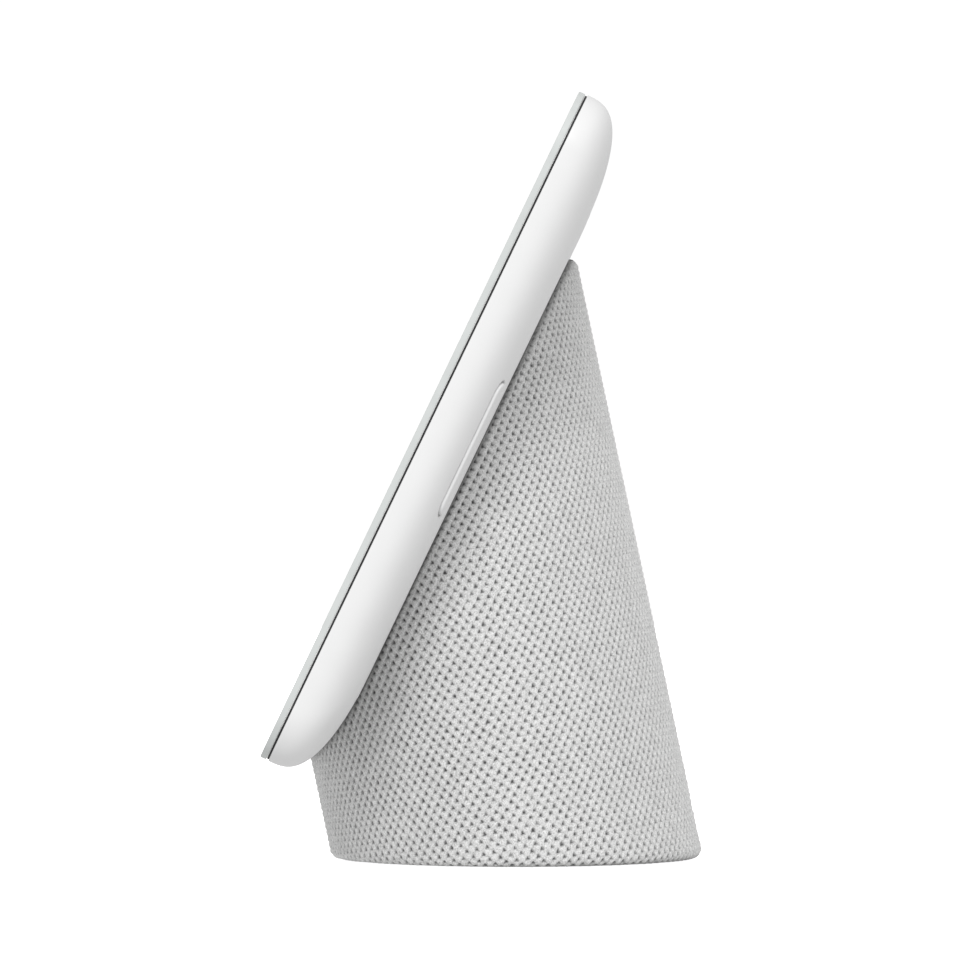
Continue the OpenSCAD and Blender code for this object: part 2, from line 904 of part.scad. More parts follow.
module ballast_weight() {
    color("slategray") translate([0, base_y + ballast_y, ballast_z]) difference() {
        linear_extrude(ballast_t) polygon(oval(ballast_a, ballast_b));
        translate([-ballast_notch[0] / 2, ballast_notch_y, -1])
            cube([ballast_notch[0], ballast_notch[1], far]);
    }
}

module base_plate() {
    color("lightgray") difference() {
        intersection() {
            base_column(room_inset + 0.1, plate_z, seat_gap + 2.2);
            translate([-far, -far, 0]) cube([2 * far, 2 * far, plate_z + plate_t]);
        }
        for (p = base_screw_places) {
            translate([p[0], base_y + p[1], 0]) disc(base_screw_hole_r, far);
            translate([p[0], base_y + p[1], 0]) disc(base_screw_sink_r, plate_z + 1.3);
        }
        on_inlet(bezel_start_y - 1) disc(bezel_r + bezel_gap, far);
    }
}

module base_screws() {
    color("silver") for (p = base_screw_places) {
        translate([p[0], base_y + p[1], plate_z + 0.1])
            disc(base_screw_head[0], base_screw_head[1]);
        translate([p[0], base_y + p[1], plate_z + 1]) disc(base_screw_r, base_screw_l);
    }
}

module foot_pad() {
    color("dimgray") translate([0, base_y, 0]) linear_extrude(plate_z)
        polygon(oval(foot_a, foot_b));
}

// ---- power inlet and cable inside ----

module dc_jack() {
    length = jack_face_y - jack_back_y;
    color("black") difference() {
        on_inlet(jack_back_y) disc(jack_r, length);
        on_inlet(jack_face_y - guide_l - 1) disc(inlet_r, length);
        on_inlet(jack_back_y + jack_floor_t)
            disc(inlet_r + 0.2, length - guide_l - jack_floor_t);
    }
}

module jack_pin() {
    color("gold") on_inlet(jack_back_y + jack_floor_t) disc(jack_pin_r, jack_pin_l);
}

module jack_bezel() {
    color("black") difference() {
        intersection() {
            on_inlet(bezel_start_y) disc(bezel_r, 10);
            base_column(bezel_recess, 0, seat_gap);
        }
        on_inlet(0) disc(jack_r + 0.05, jack_face_y + eps);
        on_inlet(0) disc(inlet_r + 0.35, far);
    }
}

module jack_board() {
    color("darkgreen")
        block(0, jack_back_y - jack_board_size[1] / 2, jack_board_z, jack_board_size);
}

// A point given along the display's plane and behind its rim, as (y, z) in the main frame
function behind_display(up, depth) = [
    display_y + up * sin_lean + depth * cos_lean,
    display_z + up * cos_lean - depth * sin_lean
];

ribbon_path = [
    behind_display(-12, 5.6), behind_display(-12, 10.6), behind_display(-13.5, 11.4),
    behind_display(-44, 11.4), [-19.6, 18.5], [-18.8, 10.5], [-17, 8.6],
    [jack_back_y - jack_board_size[1], 8.6]
];

function unit(v) = v / norm(v);
function turned(v) = [-v[1], v[0]];
function path_direction(path, i) =
    unit(path[min(i + 1, len(path) - 1)] - path[max(i - 1, 0)]);

module ribbon_cable() {
    half_t = 0.1;
    last = len(ribbon_path) - 1;
    one_side = [for (i = [0:last])
        ribbon_path[i] + half_t * turned(path_direction(ribbon_path, i))];
    other_side = [for (i = [last:-1:0])
        ribbon_path[i] - half_t * turned(path_direction(ribbon_path, i))];
    color("orange") along_x(ribbon_w) polygon(concat(one_side, other_side));
}

cover_glass();
border_ink();
optical_adhesive();
glass_gasket();
lcd_panel();
backlight_unit();
light_sensor();
microphones();
mic_seals();
mic_board();
mid_frame();
main_board();
board_chips();
shield_cans();
heat_spreader();
wifi_antennas();
rear_shell();
frame_screws();
volume_rocker();
rocker_pin();
rocker_bracket();
volume_switches();
volume_board();
volume_flex();
mic_switch_knob();
mic_switch_body();
switch_board();
mute_flag();
neck_bracket();
neck_screws();
base_core();
fabric_sleeve();
speaker_box();
speaker_baffle();
speaker_basket();
speaker_yoke();
speaker_magnet();
front_plate();
voice_coil();
speaker_cone();
dust_cap();
speaker_surround();
speaker_spider();
speaker_screws();
ballast_weight();
dc_jack();
jack_pin();
jack_bezel();
jack_board();
ribbon_cable();
base_plate();
base_screws();
foot_pad();
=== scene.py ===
"""A tabletop smart display: a leaning display head on a low oval base in a knitted sleeve.

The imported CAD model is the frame. Here the shell, glass, rocker, switch knob, sleeve, foot, inlet
bezel and speaker suspension get their final meshes, every piece its material, and the studio is
set up.
All sizes are in metres, in the CAD frame: +Z up, the screen faces -Y.
"""

import json
import math

import bmesh
import bpy
import numpy as np
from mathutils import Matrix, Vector
from mathutils.bvhtree import BVHTree
from mathutils.interpolate import poly_3d_calc


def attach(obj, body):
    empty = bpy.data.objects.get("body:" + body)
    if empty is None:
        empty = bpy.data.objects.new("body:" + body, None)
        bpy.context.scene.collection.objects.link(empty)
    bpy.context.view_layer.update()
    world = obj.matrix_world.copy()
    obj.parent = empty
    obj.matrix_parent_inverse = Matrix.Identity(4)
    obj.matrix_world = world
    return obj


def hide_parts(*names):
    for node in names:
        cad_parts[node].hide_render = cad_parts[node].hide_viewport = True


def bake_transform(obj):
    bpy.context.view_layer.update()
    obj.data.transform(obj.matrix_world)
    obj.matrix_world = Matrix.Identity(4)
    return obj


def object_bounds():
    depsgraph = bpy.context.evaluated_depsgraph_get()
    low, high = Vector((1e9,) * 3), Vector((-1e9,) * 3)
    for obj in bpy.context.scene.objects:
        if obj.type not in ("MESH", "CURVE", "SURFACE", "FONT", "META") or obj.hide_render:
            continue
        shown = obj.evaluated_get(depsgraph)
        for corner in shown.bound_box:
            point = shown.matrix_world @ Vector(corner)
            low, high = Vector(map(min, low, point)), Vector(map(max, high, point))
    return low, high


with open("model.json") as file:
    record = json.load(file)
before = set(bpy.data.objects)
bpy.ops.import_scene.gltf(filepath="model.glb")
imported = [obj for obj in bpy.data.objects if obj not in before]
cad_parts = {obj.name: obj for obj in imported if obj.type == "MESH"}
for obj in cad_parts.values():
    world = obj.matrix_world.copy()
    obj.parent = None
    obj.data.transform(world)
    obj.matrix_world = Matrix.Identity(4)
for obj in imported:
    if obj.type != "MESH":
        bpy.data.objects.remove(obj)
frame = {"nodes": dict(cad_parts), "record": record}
cad_low, cad_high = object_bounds()

# ---- sizes shared with the CAD ----

DISPLAY_LEAN = math.radians(25.65)
DISPLAY_W, DISPLAY_H, CORNER_R = 0.178, 0.112, 0.009
DISPLAY_Z = 0.0678
SHELL_DEPTH, SHELL_WALL, BACK_WALL = 0.0081, 0.0016, 0.00125
SWEEP_W, SWEEP_POWER = 0.017, 3.07
GASKET_T, INK_T, GLASS_T = 0.0003, 0.0001, 0.001
FILM_GAP, INSIDE_WINDOW = 0.00001, 0.00005
GASKET_INSET, GASKET_W, GASKET_BULGE = 0.00025, 0.00105, 0.00003
INK_INSET, GLASS_INSET = 0.0003, 0.00005
WINDOW_W, WINDOW_H = 0.1546, 0.0863
MIC_X, MIC_ROW_Y, MIC_HOLE_R, SENSOR_HOLE_R = 0.0175, 0.0522, 0.0005, 0.0009

BASE_LEAN = math.radians(12)
BASE_A, BASE_D = 0.0535, 0.0586
HEM_Z, SEAT_GAP = 0.0004, 0.00002

SLOT_L, SLOT_W = 0.023, 0.0048
ROCKER_X = DISPLAY_W / 2 - 0.00835
ROCKER_UNDER_Z, ROCKER_PIN_Z = -0.0064, -0.00585
TACT_Y, TACT_TOP_Z = 0.008, -0.0058

KNOB_Y, KNOB_TRAVEL = 0.040, 0.0024
RECESS_L, RECESS_W, RECESS_DEPTH = 0.0083, 0.0041, 0.0007
KNOB_L, KNOB_W, KNOB_H = 0.0052, 0.0036, 0.00065
STEM_L, STEM_W, STEM_TIP_Z = 0.002, 0.0016, -0.0062

INLET_Z, BEZEL_R, BEZEL_RECESS, JACK_R = 0.0072, 0.0046, 0.00005, 0.0036
BEZEL_MOUTH_R, BEZEL_EDGE, BEZEL_BACK_Y, BEZEL_LIP_Y = 0.0032, 0.0002, 0.029, 0.03155
INLET_CLEARANCE, INLET_BAND, JACK_CLEARANCE = 0.0001, 0.00012, 0.00005

FOOT_A, FOOT_B, FOOT_T, FOOT_EDGE = 0.037, 0.023, 0.0009, 0.0003
GROOVE_FROM, GROOVE_TO, GROOVE_SIDE, GROOVE_STEP, GROOVE_H = 0.0022, 0.0034, 0.0002, 0.00008, 0.00022
FOOT_INNER_RING = 0.01

# ---- where the two leaning frames stand ----

BASE_B = BASE_D / 2 * math.cos(BASE_LEAN)
DISPLAY_Y = (
    cad_low.y
    + (DISPLAY_H / 2 - GLASS_INSET) * math.sin(DISPLAY_LEAN)
    + (GASKET_T + INK_T + GLASS_T) * math.cos(DISPLAY_LEAN)
)
BASE_Y = cad_high.y - BASE_D / 2 + HEM_Z * math.tan(BASE_LEAN)


def tilted(points, angle, y, z):
    """Turns points about X and moves them, from a leaning frame to the main one."""
    p = np.asarray(points, float)
    s, c = math.sin(angle), math.cos(angle)
    return np.stack(
        [p[..., 0], y + p[..., 1] * c - p[..., 2] * s, z + p[..., 1] * s + p[..., 2] * c], -1
    )


def on_display(points):
    """From the display's frame (y up along the screen, z towards the viewer) to the main one."""
    return tilted(points, math.pi / 2 - DISPLAY_LEAN, DISPLAY_Y, DISPLAY_Z)


def on_base(points):
    """From the base's frame (z up its leaning column) to the main one."""
    return tilted(points, BASE_LEAN, BASE_Y, 0)


def as_is(points):
    """For a mesh that is already in the main frame."""
    return points


def to_display(points):
    """From the main frame to the display's."""
    p = np.asarray(points, float) - [0, DISPLAY_Y, DISPLAY_Z]
    return tilted(p, DISPLAY_LEAN - math.pi / 2, 0, 0)


# ---- mesh building ----


def new_mesh(name, points, *face_sets):
    """A mesh from (N, 3) points and arrays of faces, one array for each number of corners."""
    sets = [np.asarray(f, np.int32) for f in face_sets if len(f)]
    corners = np.concatenate([f.ravel() for f in sets])
    sizes = np.concatenate([np.full(len(f), f.shape[1], np.int32) for f in sets])
    starts = np.concatenate([[0], np.cumsum(sizes)[:-1]]).astype(np.int32)
    mesh = bpy.data.meshes.new(name)
    mesh.vertices.add(len(points))
    mesh.vertices.foreach_set("co", np.asarray(points, np.float32).ravel())
    mesh.loops.add(len(corners))
    mesh.loops.foreach_set("vertex_index", corners)
    mesh.polygons.add(len(sizes))
    mesh.polygons.foreach_set("loop_start", starts)
    mesh.update(calc_edges=True)
    mesh.validate()
    return mesh


def face_outwards(mesh, weld=0.0):
    """Merges points that are closer than weld, and turns the faces outwards."""
    b = bmesh.new()
    b.from_mesh(mesh)
    if weld:
        bmesh.ops.remove_doubles(b, verts=b.verts, dist=weld)
    bmesh.ops.recalc_face_normals(b, faces=b.faces)
    b.to_mesh(mesh)
    b.free()


def smooth(mesh, angle=35):
    """Smooth shading, with creases where faces meet at more than an angle in degrees."""
    mesh.shade_smooth()
    mesh.set_sharp_from_angle(angle=math.radians(angle))


def new_object(name, mesh):
    o = bpy.data.objects.new(name, mesh)
    bpy.context.scene.collection.objects.link(o)
    return o


def lofted(name, rings, capped=True):
    """A mesh that joins closed rings with the same number of points."""
    rings = np.asarray(rings, float)
    count, n = rings.shape[:2]
    i = np.arange(n)
    start = np.arange(count - 1)[:, None] * n
    here, after = start + i, start + np.roll(i, -1)
    quads = np.stack([here, after, after + n, here + n], -1).reshape(-1, 4)
    caps = [i[::-1], (count - 1) * n + i] if capped else []
    mesh = new_mesh(name, rings.reshape(-1, 3), quads, caps)
    if capped:
        face_outwards(mesh)
    return mesh


def joined(name, *meshes):
    """One mesh that holds several."""
    b = bmesh.new()
    for m in meshes:
        b.from_mesh(m)
    mesh = bpy.data.meshes.new(name)
    b.to_mesh(mesh)
    b.free()
    for m in meshes:
        bpy.data.meshes.remove(m)
    return mesh


def rounded_rect(width, height, radius, corner_steps=16, side_steps=24):
    """A rounded rectangle's outline, anticlockwise, with its straight sides divided too."""
    turn = np.linspace(0, math.pi / 2, corner_steps + 1)
    share = np.linspace(0, 1, side_steps + 1)[1:-1, None]
    arcs = []
    for k, (sx, sy) in enumerate([(1, 1), (-1, 1), (-1, -1), (1, -1)]):
        a = turn + k * math.pi / 2
        centre = [sx * (width / 2 - radius), sy * (height / 2 - radius)]
        arcs.append(centre + radius * np.stack([np.cos(a), np.sin(a)], 1))
    outline = []
    for arc, after in zip(arcs, arcs[1:] + arcs[:1]):
        outline += [arc, arc[-1] * (1 - share) + after[0] * share]
    return np.concatenate(outline)


def stadium(length, width, end_steps=40, side_steps=30):
    """A slot's outline with its long axis along x, anticlockwise."""
    half = (length - width) / 2
    a = np.linspace(-math.pi / 2, math.pi / 2, end_steps + 1)
    right = np.stack([half + width / 2 * np.cos(a), width / 2 * np.sin(a)], 1)
    x = np.linspace(half, -half, side_steps + 1)[1:-1]
    top = np.stack([x, np.full(len(x), width / 2)], 1)
    return np.concatenate([right, top, -right, -top])


def ellipse(a, b, steps):
    t = np.arange(steps) * 2 * math.pi / steps
    return np.stack([a * np.cos(t), b * np.sin(t)], 1)


def circle(radius, steps=48):
    return ellipse(radius, radius, steps)


def at_height(outline, z):
    """An outline's points at one height, or at one height each."""
    return np.column_stack([outline, np.broadcast_to(z, len(outline))])


def quarter_round(radius, steps, degrees=90):
    """(inset, drop) from a side round to the flat end: inset grows from 0, drop falls to 0."""
    a = np.radians(np.linspace(0, degrees, steps + 1))
    return list(zip(radius * (1 - np.cos(a)), radius * (1 - np.sin(a))))


FLAT_RING = 0.0001  # how far inside a rounding's end the ring that keeps the flat end flat lies


def prism(name, outline, z_low, z_high, round_low, round_high=0.0, steps=5):
    """A bar whose ends are rounded over; outline(inset) gives the points of its section."""
    low = [(round_low + FLAT_RING, 0), *quarter_round(round_low, steps)[::-1]]
    high = [(0, 0)]
    if round_high:
        high = [*quarter_round(round_high, steps), (round_high + FLAT_RING, 0)]
    rings = [at_height(outline(inset), z_low + rise) for inset, rise in low]
    rings += [at_height(outline(inset), z_high - drop) for inset, drop in high]
    return lofted(name, rings)


def bar(name, outline, z_low, z_high):
    """A straight upright bar with an outline for its section."""
    return lofted(name, [at_height(outline, z_low), at_height(outline, z_high)])


def slab(name, x, y, width, height, z_low, z_high):
    """A rectangular bar about a vertical axis at x, y."""
    square = np.array([(-1, -1), (1, -1), (1, 1), (-1, 1)]) * [width / 2, height / 2] + [x, y]
    return bar(name, square, z_low, z_high)


def moved(mesh, place):
    """Runs a mesh's points through place, which takes and gives an (N, 3) array."""
    co = np.empty(len(mesh.vertices) * 3, np.float32)
    mesh.vertices.foreach_get("co", co)
    mesh.vertices.foreach_set("co", place(co.reshape(-1, 3)).astype(np.float32).ravel())
    mesh.update()
    return mesh


def shifted(mesh, x, y):
    return moved(mesh, lambda p: p + np.array([x, y, 0.0]))


def source_of(mesh, sign):
    """A mesh's faces in a search tree, with the smooth normals of their corners."""
    b = bmesh.new()
    b.from_mesh(mesh)
    bmesh.ops.triangulate(b, faces=b.faces)
    flat = bpy.data.meshes.new("search")
    b.to_mesh(flat)
    b.free()
    smooth(flat)
    tree = BVHTree.FromPolygons(
        [v.co for v in flat.vertices], [tuple(p.vertices) for p in flat.polygons])
    faces = []
    for p in flat.polygons:
        corners = [flat.vertices[v].co.copy() for v in p.vertices]
        normals = [flat.corner_normals[k].vector.copy() * sign for k in p.loop_indices]
        faces.append((corners, normals))
    bpy.data.meshes.remove(flat)
    return tree, faces


def carved(name, body, cutters):
    """Cuts meshes out of a body. Each face of the result keeps the shading of the surface it
    came from, so that a cut doesn't disturb the smooth surface round it."""
    sources = [source_of(body, 1)] + [source_of(c, -1) for c in cutters]
    target = new_object(name, body)
    for k, c in enumerate(cutters):
        tool = new_object(f"{name}_cutter_{k}", c)
        cut = target.modifiers.new("cut", "BOOLEAN")
        cut.operation = "DIFFERENCE"
        cut.solver = "EXACT"
        cut.object = tool
    bpy.context.view_layer.update()
    depsgraph = bpy.context.evaluated_depsgraph_get()
    mesh = bpy.data.meshes.new_from_object(target.evaluated_get(depsgraph))
    for o in [target] + [m.object for m in target.modifiers]:
        bpy.data.objects.remove(o)
    mesh.name = name
    normals = np.empty((len(mesh.loops), 3))
    for p in mesh.polygons:
        tree, faces = min(sources, key=lambda source: source[0].find_nearest(p.center)[3])
        for k in p.loop_indices:
            co = mesh.vertices[mesh.loops[k].vertex_index].co
            place, _, face, _ = tree.find_nearest(p.center.lerp(co, 0.999))
            corners, corner_normals = faces[face]
            weights = poly_3d_calc(corners, place)
            n = sum((c * w for c, w in zip(corner_normals, weights)), Vector())
            normals[k] = n.normalized() if n.dot(p.normal) > 0 else p.normal
    mesh.shade_smooth()
    mesh.normals_split_custom_set(normals.tolist())
    return mesh


# ---- materials ----


class Look:
    """A Principled material and the few node patterns that the pieces share."""

    def __init__(self, name, color, roughness, metallic=0.0, **values):
        self.name, self.color, self.roughness = name, color, roughness
        self.material = bpy.data.materials.new(name)
        self.material.use_nodes = True
        self.tree = self.material.node_tree
        self.shader = next(n for n in self.tree.nodes if n.type == "BSDF_PRINCIPLED")
        self.set("Base Color", (*color, 1))
        self.set("Roughness", roughness)
        self.set("Metallic", metallic)
        for key, value in values.items():
            self.set(key.replace("_", " ").title().replace("Ior", "IOR"), value)
        self.coordinates = self.node("ShaderNodeTexCoord").outputs["Object"]

    def set(self, socket, value):
        self.shader.inputs[socket].default_value = value

    def node(self, kind, **settings):
        n = self.tree.nodes.new(kind)
        for key, value in settings.items():
            setattr(n, key, value)
        return n

    def link(self, output, socket):
        self.tree.links.new(output, socket)

    def texture(self, kind, output, vector=None, **inputs):
        """A texture or mapping node's output, on object coordinates or a given vector."""
        n = self.node(kind)
        for key, value in inputs.items():
            n.inputs[key.replace("_", " ")].default_value = value
        self.link(vector or self.coordinates, n.inputs["Vector"])
        return n.outputs[output]

    def stretched(self, *scale):
        """Object coordinates scaled along x, y and z."""
        return self.texture("ShaderNodeMapping", "Vector", Scale=scale)

    def noise(self, size, detail=3.0, vector=None, roughness=0.5):
        """Noise from 0 to 1 whose lumps are about size across."""
        return self.texture("ShaderNodeTexNoise", "Fac", vector, Scale=1 / size, Detail=detail,
                            Roughness=roughness)

    def cells(self, size, output="Distance"):
        """Cells about size across: the distance from their middles, or a colour each."""
        return self.texture("ShaderNodeTexVoronoi", output, Scale=1 / size)

    def stripes(self, size, direction="X"):
        """Stripes across one axis that repeat every size."""
        bands = self.texture("ShaderNodeTexWave", "Fac", Scale=math.pi / (10 * size))
        bands.node.bands_direction = direction
        return bands

    def ramp(self, value, *stops):
        """A value through a colour ramp; each stop is (position, colour or grey)."""
        n = self.node("ShaderNodeValToRGB")
        elements = n.color_ramp.elements
        while len(elements) < len(stops):
            elements.new(0.5)
        for e, (position, color) in zip(elements, stops):
            e.position = position
            grey = isinstance(color, (int, float))
            e.color = (color, color, color, 1) if grey else (*color, 1)
        self.link(value, n.inputs["Fac"])
        return n.outputs["Color"]

    def mix(self, factor, a, b, blend="MIX"):
        """Mixes two colours, each a colour or an output."""
        n = self.node("ShaderNodeMix", data_type="RGBA", blend_type=blend)
        for socket, value in ((n.inputs[0], factor), (n.inputs[6], a), (n.inputs[7], b)):
            if isinstance(value, bpy.types.NodeSocket):
                self.link(value, socket)
            else:
                socket.default_value = (*value, 1) if isinstance(value, tuple) else value
        return n.outputs[2]

    def paint(self, output):
        self.link(output, self.shader.inputs["Base Color"])
        return self

    def mottle(self, amount, size, detail=3.0, vector=None):
        """The base colour, darker and lighter by amount."""
        dark = tuple(c * (1 - amount) for c in self.color)
        light = tuple(min(c * (1 + amount), 1) for c in self.color)
        return self.paint(self.ramp(self.noise(size, detail, vector), (0.3, dark), (0.7, light)))

    def wear(self, amount, size, detail=3.0, vector=None):
        """Roughness that varies by amount either way."""
        low, high = max(self.roughness - amount, 0.02), min(self.roughness + amount, 1)
        pattern = self.ramp(self.noise(size, detail, vector), (0.3, low), (0.7, high))
        self.link(pattern, self.shader.inputs["Roughness"])
        return self

    def bump(self, height, distance, strength):
        """A relief distance high, from a pattern from 0 to 1."""
        n = self.node("ShaderNodeBump")
        n.inputs["Distance"].default_value = distance
        n.inputs["Strength"].default_value = strength
        self.link(height, n.inputs["Height"])
        self.link(n.outputs["Normal"], self.shader.inputs["Normal"])
        return self

    def grain(self, size, detail, distance, strength):
        return self.bump(self.noise(size, detail), distance, strength)


def white_plastic():
    """Satin moulded plastic with a fine spark-eroded grain."""
    look = Look("white_plastic", (0.785, 0.785, 0.785), 0.42, specular_ior_level=0.28)
    return look.mottle(0.008, 0.004, 5).wear(0.05, 0.0006).grain(0.00016, 2, 0.000006, 0.35)


def knit_fabric():
    """Pale melange yarn, fibres along the stitches; painted shade in holes, creases, by seam and hem.
    """
    look = Look("knit_fabric", (0.72, 0.72, 0.715), 0.85, sheen_weight=0.2,
                sheen_roughness=0.5, specular_ior_level=0.2)
    flecks = look.noise(0.00025, 5, roughness=0.7)
    yarn = look.ramp(flecks, (0.36, (0.50, 0.50, 0.495)), (0.5, (0.78, 0.78, 0.775)),
                     (0.64, (0.99, 0.99, 0.985)))
    patches = look.ramp(look.noise(0.004), (0.3, 0.94), (0.7, 1.0))
    yarn = look.mix(1.0, yarn, patches, "MULTIPLY")
    # Painted shade: the yarn darkens beside the seam under the display and round the underside of the
    # hem.
    shade = look.node("ShaderNodeAttribute", attribute_name="shade").outputs["Fac"]
    shade = look.ramp(shade, (0.0, 0.4), (0.3, 0.72), (1.0, 1.0))
    yarn = look.mix(1.0, yarn, shade, "MULTIPLY")
    # Holes and creases darken towards near-black: a dark backing in the holes, and painted shade in
    # the holes and creases.
    pit = look.node("ShaderNodeAttribute", attribute_name="pit").outputs["Fac"]
    pit = look.ramp(pit, (0.0, 0.0), (1.0, 1.0))
    look.paint(look.mix(pit, yarn, (0.11, 0.11, 0.112)))
    return look.bump(look.noise(0.00016, 4, look.stretched(1, 1, 0.6), 0.6), 0.00018, 1.0)


def glass_edge():
    """The ground edge of the cover glass, white behind and faintly green."""
    look = Look("glass_edge", (0.60, 0.622, 0.614), 0.5, specular_ior_level=0.3)
    look.mottle(0.03, 0.0009, 3, look.stretched(1, 0.3, 0.3))
    return look.wear(0.08, 0.0005).grain(0.0002, 2, 0.000004, 0.3)


def clear_glass():
    """The face of the cover glass, nearly invisible over the ink and the panel."""
    look = Look("clear_glass", (0.03, 0.033, 0.032), 0.03, alpha=0.05, specular_ior_level=0.6)
    return look.wear(0.015, 0.01, 4)


def white_ink():
    """Satin screen print behind glass."""
    look = Look("white_ink", (0.78, 0.785, 0.78), 0.3, coat_weight=1.0, coat_roughness=0.03)
    return look.mottle(0.006, 0.0005, 4)


def screen_panel():
    """A dark LCD behind glass; its cell grid shows only as a faint texture."""
    look = Look("screen_panel", (0.006, 0.0065, 0.008), 0.4, coat_weight=1.0,
                coat_roughness=0.03)
    grid = look.ramp(look.stripes(0.00015), (0.35, 0.0), (0.65, 1.0))
    look.paint(look.mix(grid, (0.004, 0.0045, 0.0055), (0.008, 0.009, 0.012)))
    return look.wear(0.04, 0.003)


def clear_adhesive():
    """A clear film that hardly shows."""
    return Look("clear_adhesive", (0.03, 0.031, 0.031), 0.1, alpha=0.03).wear(0.05, 0.004)


def black_gasket():
    """Matt foam adhesive."""
    look = Look("black_gasket", (0.012, 0.012, 0.013), 0.7)
    return look.mottle(0.25, 0.0006).grain(0.0002, 2, 0.00001, 0.4)


def inner_plastic():
    """Unpainted structural plastic with faint flow marks."""
    look = Look("inner_plastic", (0.20, 0.205, 0.21), 0.55)
    look.mottle(0.12, 0.006, 4, look.stretched(1, 1, 0.35))
    return look.wear(0.08, 0.002).grain(0.0003, 3, 0.00001, 0.4)


def circuit_board():
    """Green solder mask over copper traces."""
    look = Look("circuit_board", (0.015, 0.10, 0.045), 0.32, coat_weight=0.3)
    color = look.texture("ShaderNodeTexBrick", "Color", Scale=420, Mortar_Size=0.06,
                         Color1=(0.012, 0.085, 0.038, 1), Color2=(0.018, 0.12, 0.055, 1),
                         Mortar=(0.04, 0.19, 0.09, 1))
    traces = color.node.outputs["Fac"]
    return look.paint(color).wear(0.08, 0.003).bump(traces, 0.00002, 0.5)


def black_component():
    """Moulded epoxy packages."""
    look = Look("black_component", (0.022, 0.022, 0.024), 0.5)
    return look.mottle(0.3, 0.0004, 4).grain(0.0001, 2, 0.000008, 0.5)


def metal(name, color, roughness, grain, *stretch):
    """Metal whose grain is drawn out where its stretch is under 1."""
    look = Look(name, color, roughness, 1.0)
    look.mottle(0.07, grain, 4, look.stretched(*stretch))
    look.wear(0.09, grain * 0.6, 3, look.stretched(*stretch))
    return look.bump(look.noise(grain * 0.4, 2, look.stretched(*stretch)), 0.000006, 0.5)


def gold_flex():
    """Amber polyimide film over fine copper lines."""
    look = Look("gold_flex", (0.62, 0.28, 0.05), 0.3, coat_weight=0.5)
    lines = look.stripes(0.0006)
    look.paint(look.ramp(lines, (0.4, (0.55, 0.22, 0.035)), (0.6, (0.72, 0.38, 0.09))))
    return look.wear(0.06, 0.002).bump(lines, 0.00001, 0.4)


def orange_label():
    """Orange paint on moulded plastic."""
    look = Look("orange_label", (0.85, 0.22, 0.03), 0.5)
    return look.mottle(0.08, 0.0003).grain(0.00015, 2, 0.000006, 0.4)


def rubber(name, color, pebble):
    """Matt rubber with a pebbled surface."""
    look = Look(name, color, 0.75)
    look.mottle(0.15, pebble * 6, 4).wear(0.1, pebble * 10)
    return look.bump(look.cells(pebble), pebble * 0.12, 0.5)


def paper_cone():
    """Pressed pulp with short fibres."""
    look = Look("paper_cone", (0.055, 0.055, 0.058), 0.85)
    fibres = look.noise(0.0004, 6, look.stretched(1, 3, 1), 0.7)
    look.paint(look.ramp(fibres, (0.3, (0.035, 0.035, 0.037)), (0.7, (0.09, 0.09, 0.092))))
    return look.bump(fibres, 0.00005, 0.6)


def ferrite():
    """Sintered ferrite, in faintly different grains."""
    look = Look("ferrite", (0.05, 0.05, 0.055), 0.45, 0.35)
    look.paint(look.ramp(look.cells(0.0006, "Color"), (0.2, (0.035, 0.035, 0.04)),
                         (0.9, (0.075, 0.075, 0.08))))
    return look.wear(0.12, 0.001).grain(0.0005, 5, 0.00003, 0.5)


def copper_wire():
    """Enamelled windings."""
    look = Look("copper_wire", (0.75, 0.32, 0.16), 0.25, 0.9)
    turns = look.stripes(0.00015, "Y")
    look.paint(look.ramp(turns, (0.2, (0.35, 0.12, 0.05)), (0.7, (0.82, 0.38, 0.2))))
    return look.bump(turns, 0.00004, 0.8)


def resin_cloth():
    """Woven cotton set in resin, as in a driver's spider."""
    look = Look("resin_cloth", (0.45, 0.25, 0.08), 0.7)
    threads = [look.ramp(look.stripes(0.0005, way), (0.2, 0.4), (0.8, 1.0)) for way in "XZ"]
    weave = look.mix(1.0, *threads, "MULTIPLY")
    look.paint(look.mix(weave, (0.24, 0.12, 0.035), (0.62, 0.36, 0.13)))
    return look.bump(weave, 0.00006, 0.7)


def cast_weight():
    """Rough cast iron."""
    look = Look("cast_weight", (0.16, 0.165, 0.175), 0.6, 0.8)
    look.mottle(0.25, 0.002, 6).wear(0.15, 0.0015)
    return look.bump(look.noise(0.0009, 6, roughness=0.65), 0.0001, 0.6)


LOOKS = {look.name: look.material for look in (
    white_plastic(), knit_fabric(), glass_edge(), clear_glass(), white_ink(), screen_panel(),
    clear_adhesive(), black_gasket(), inner_plastic(), circuit_board(), black_component(),
    gold_flex(), orange_label(), paper_cone(), ferrite(), copper_wire(), resin_cloth(),
    cast_weight(),
    metal("plated_steel", (0.62, 0.62, 0.6), 0.3, 0.0012, 1, 1, 0.2),
    metal("aluminium_sheet", (0.78, 0.79, 0.8), 0.38, 0.0009, 0.12, 1, 1),
    metal("gold_contact", (0.85, 0.62, 0.25), 0.22, 0.0008, 1, 0.3, 1),
    rubber("foot_rubber", (0.21, 0.21, 0.215), 0.0005),
    rubber("black_rubber", (0.02, 0.02, 0.021), 0.0004),
)}
def finish_nodes():
    """Gives each CAD node the look of its slot in the record; cover_glass is replaced."""
    for part in frame["record"]["subparts"]:
        if part["material_slot"] in LOOKS:
            data = frame["nodes"][part["node"]].data
            data.materials.clear()
            data.materials.append(LOOKS[part["material_slot"]])


def add_piece(mesh, place, body, slot, *nodes):
    """A finished piece of the mesh's name: it is moved from its own frame by place, rides on a
    body, takes a slot's look and stands for CAD nodes."""
    o = new_object(mesh.name, moved(mesh, place))
    if not mesh.materials:
        mesh.materials.append(LOOKS[slot])
    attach(o, body)
    if nodes:
        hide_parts(*nodes)
    return o


# ---- the display head ----


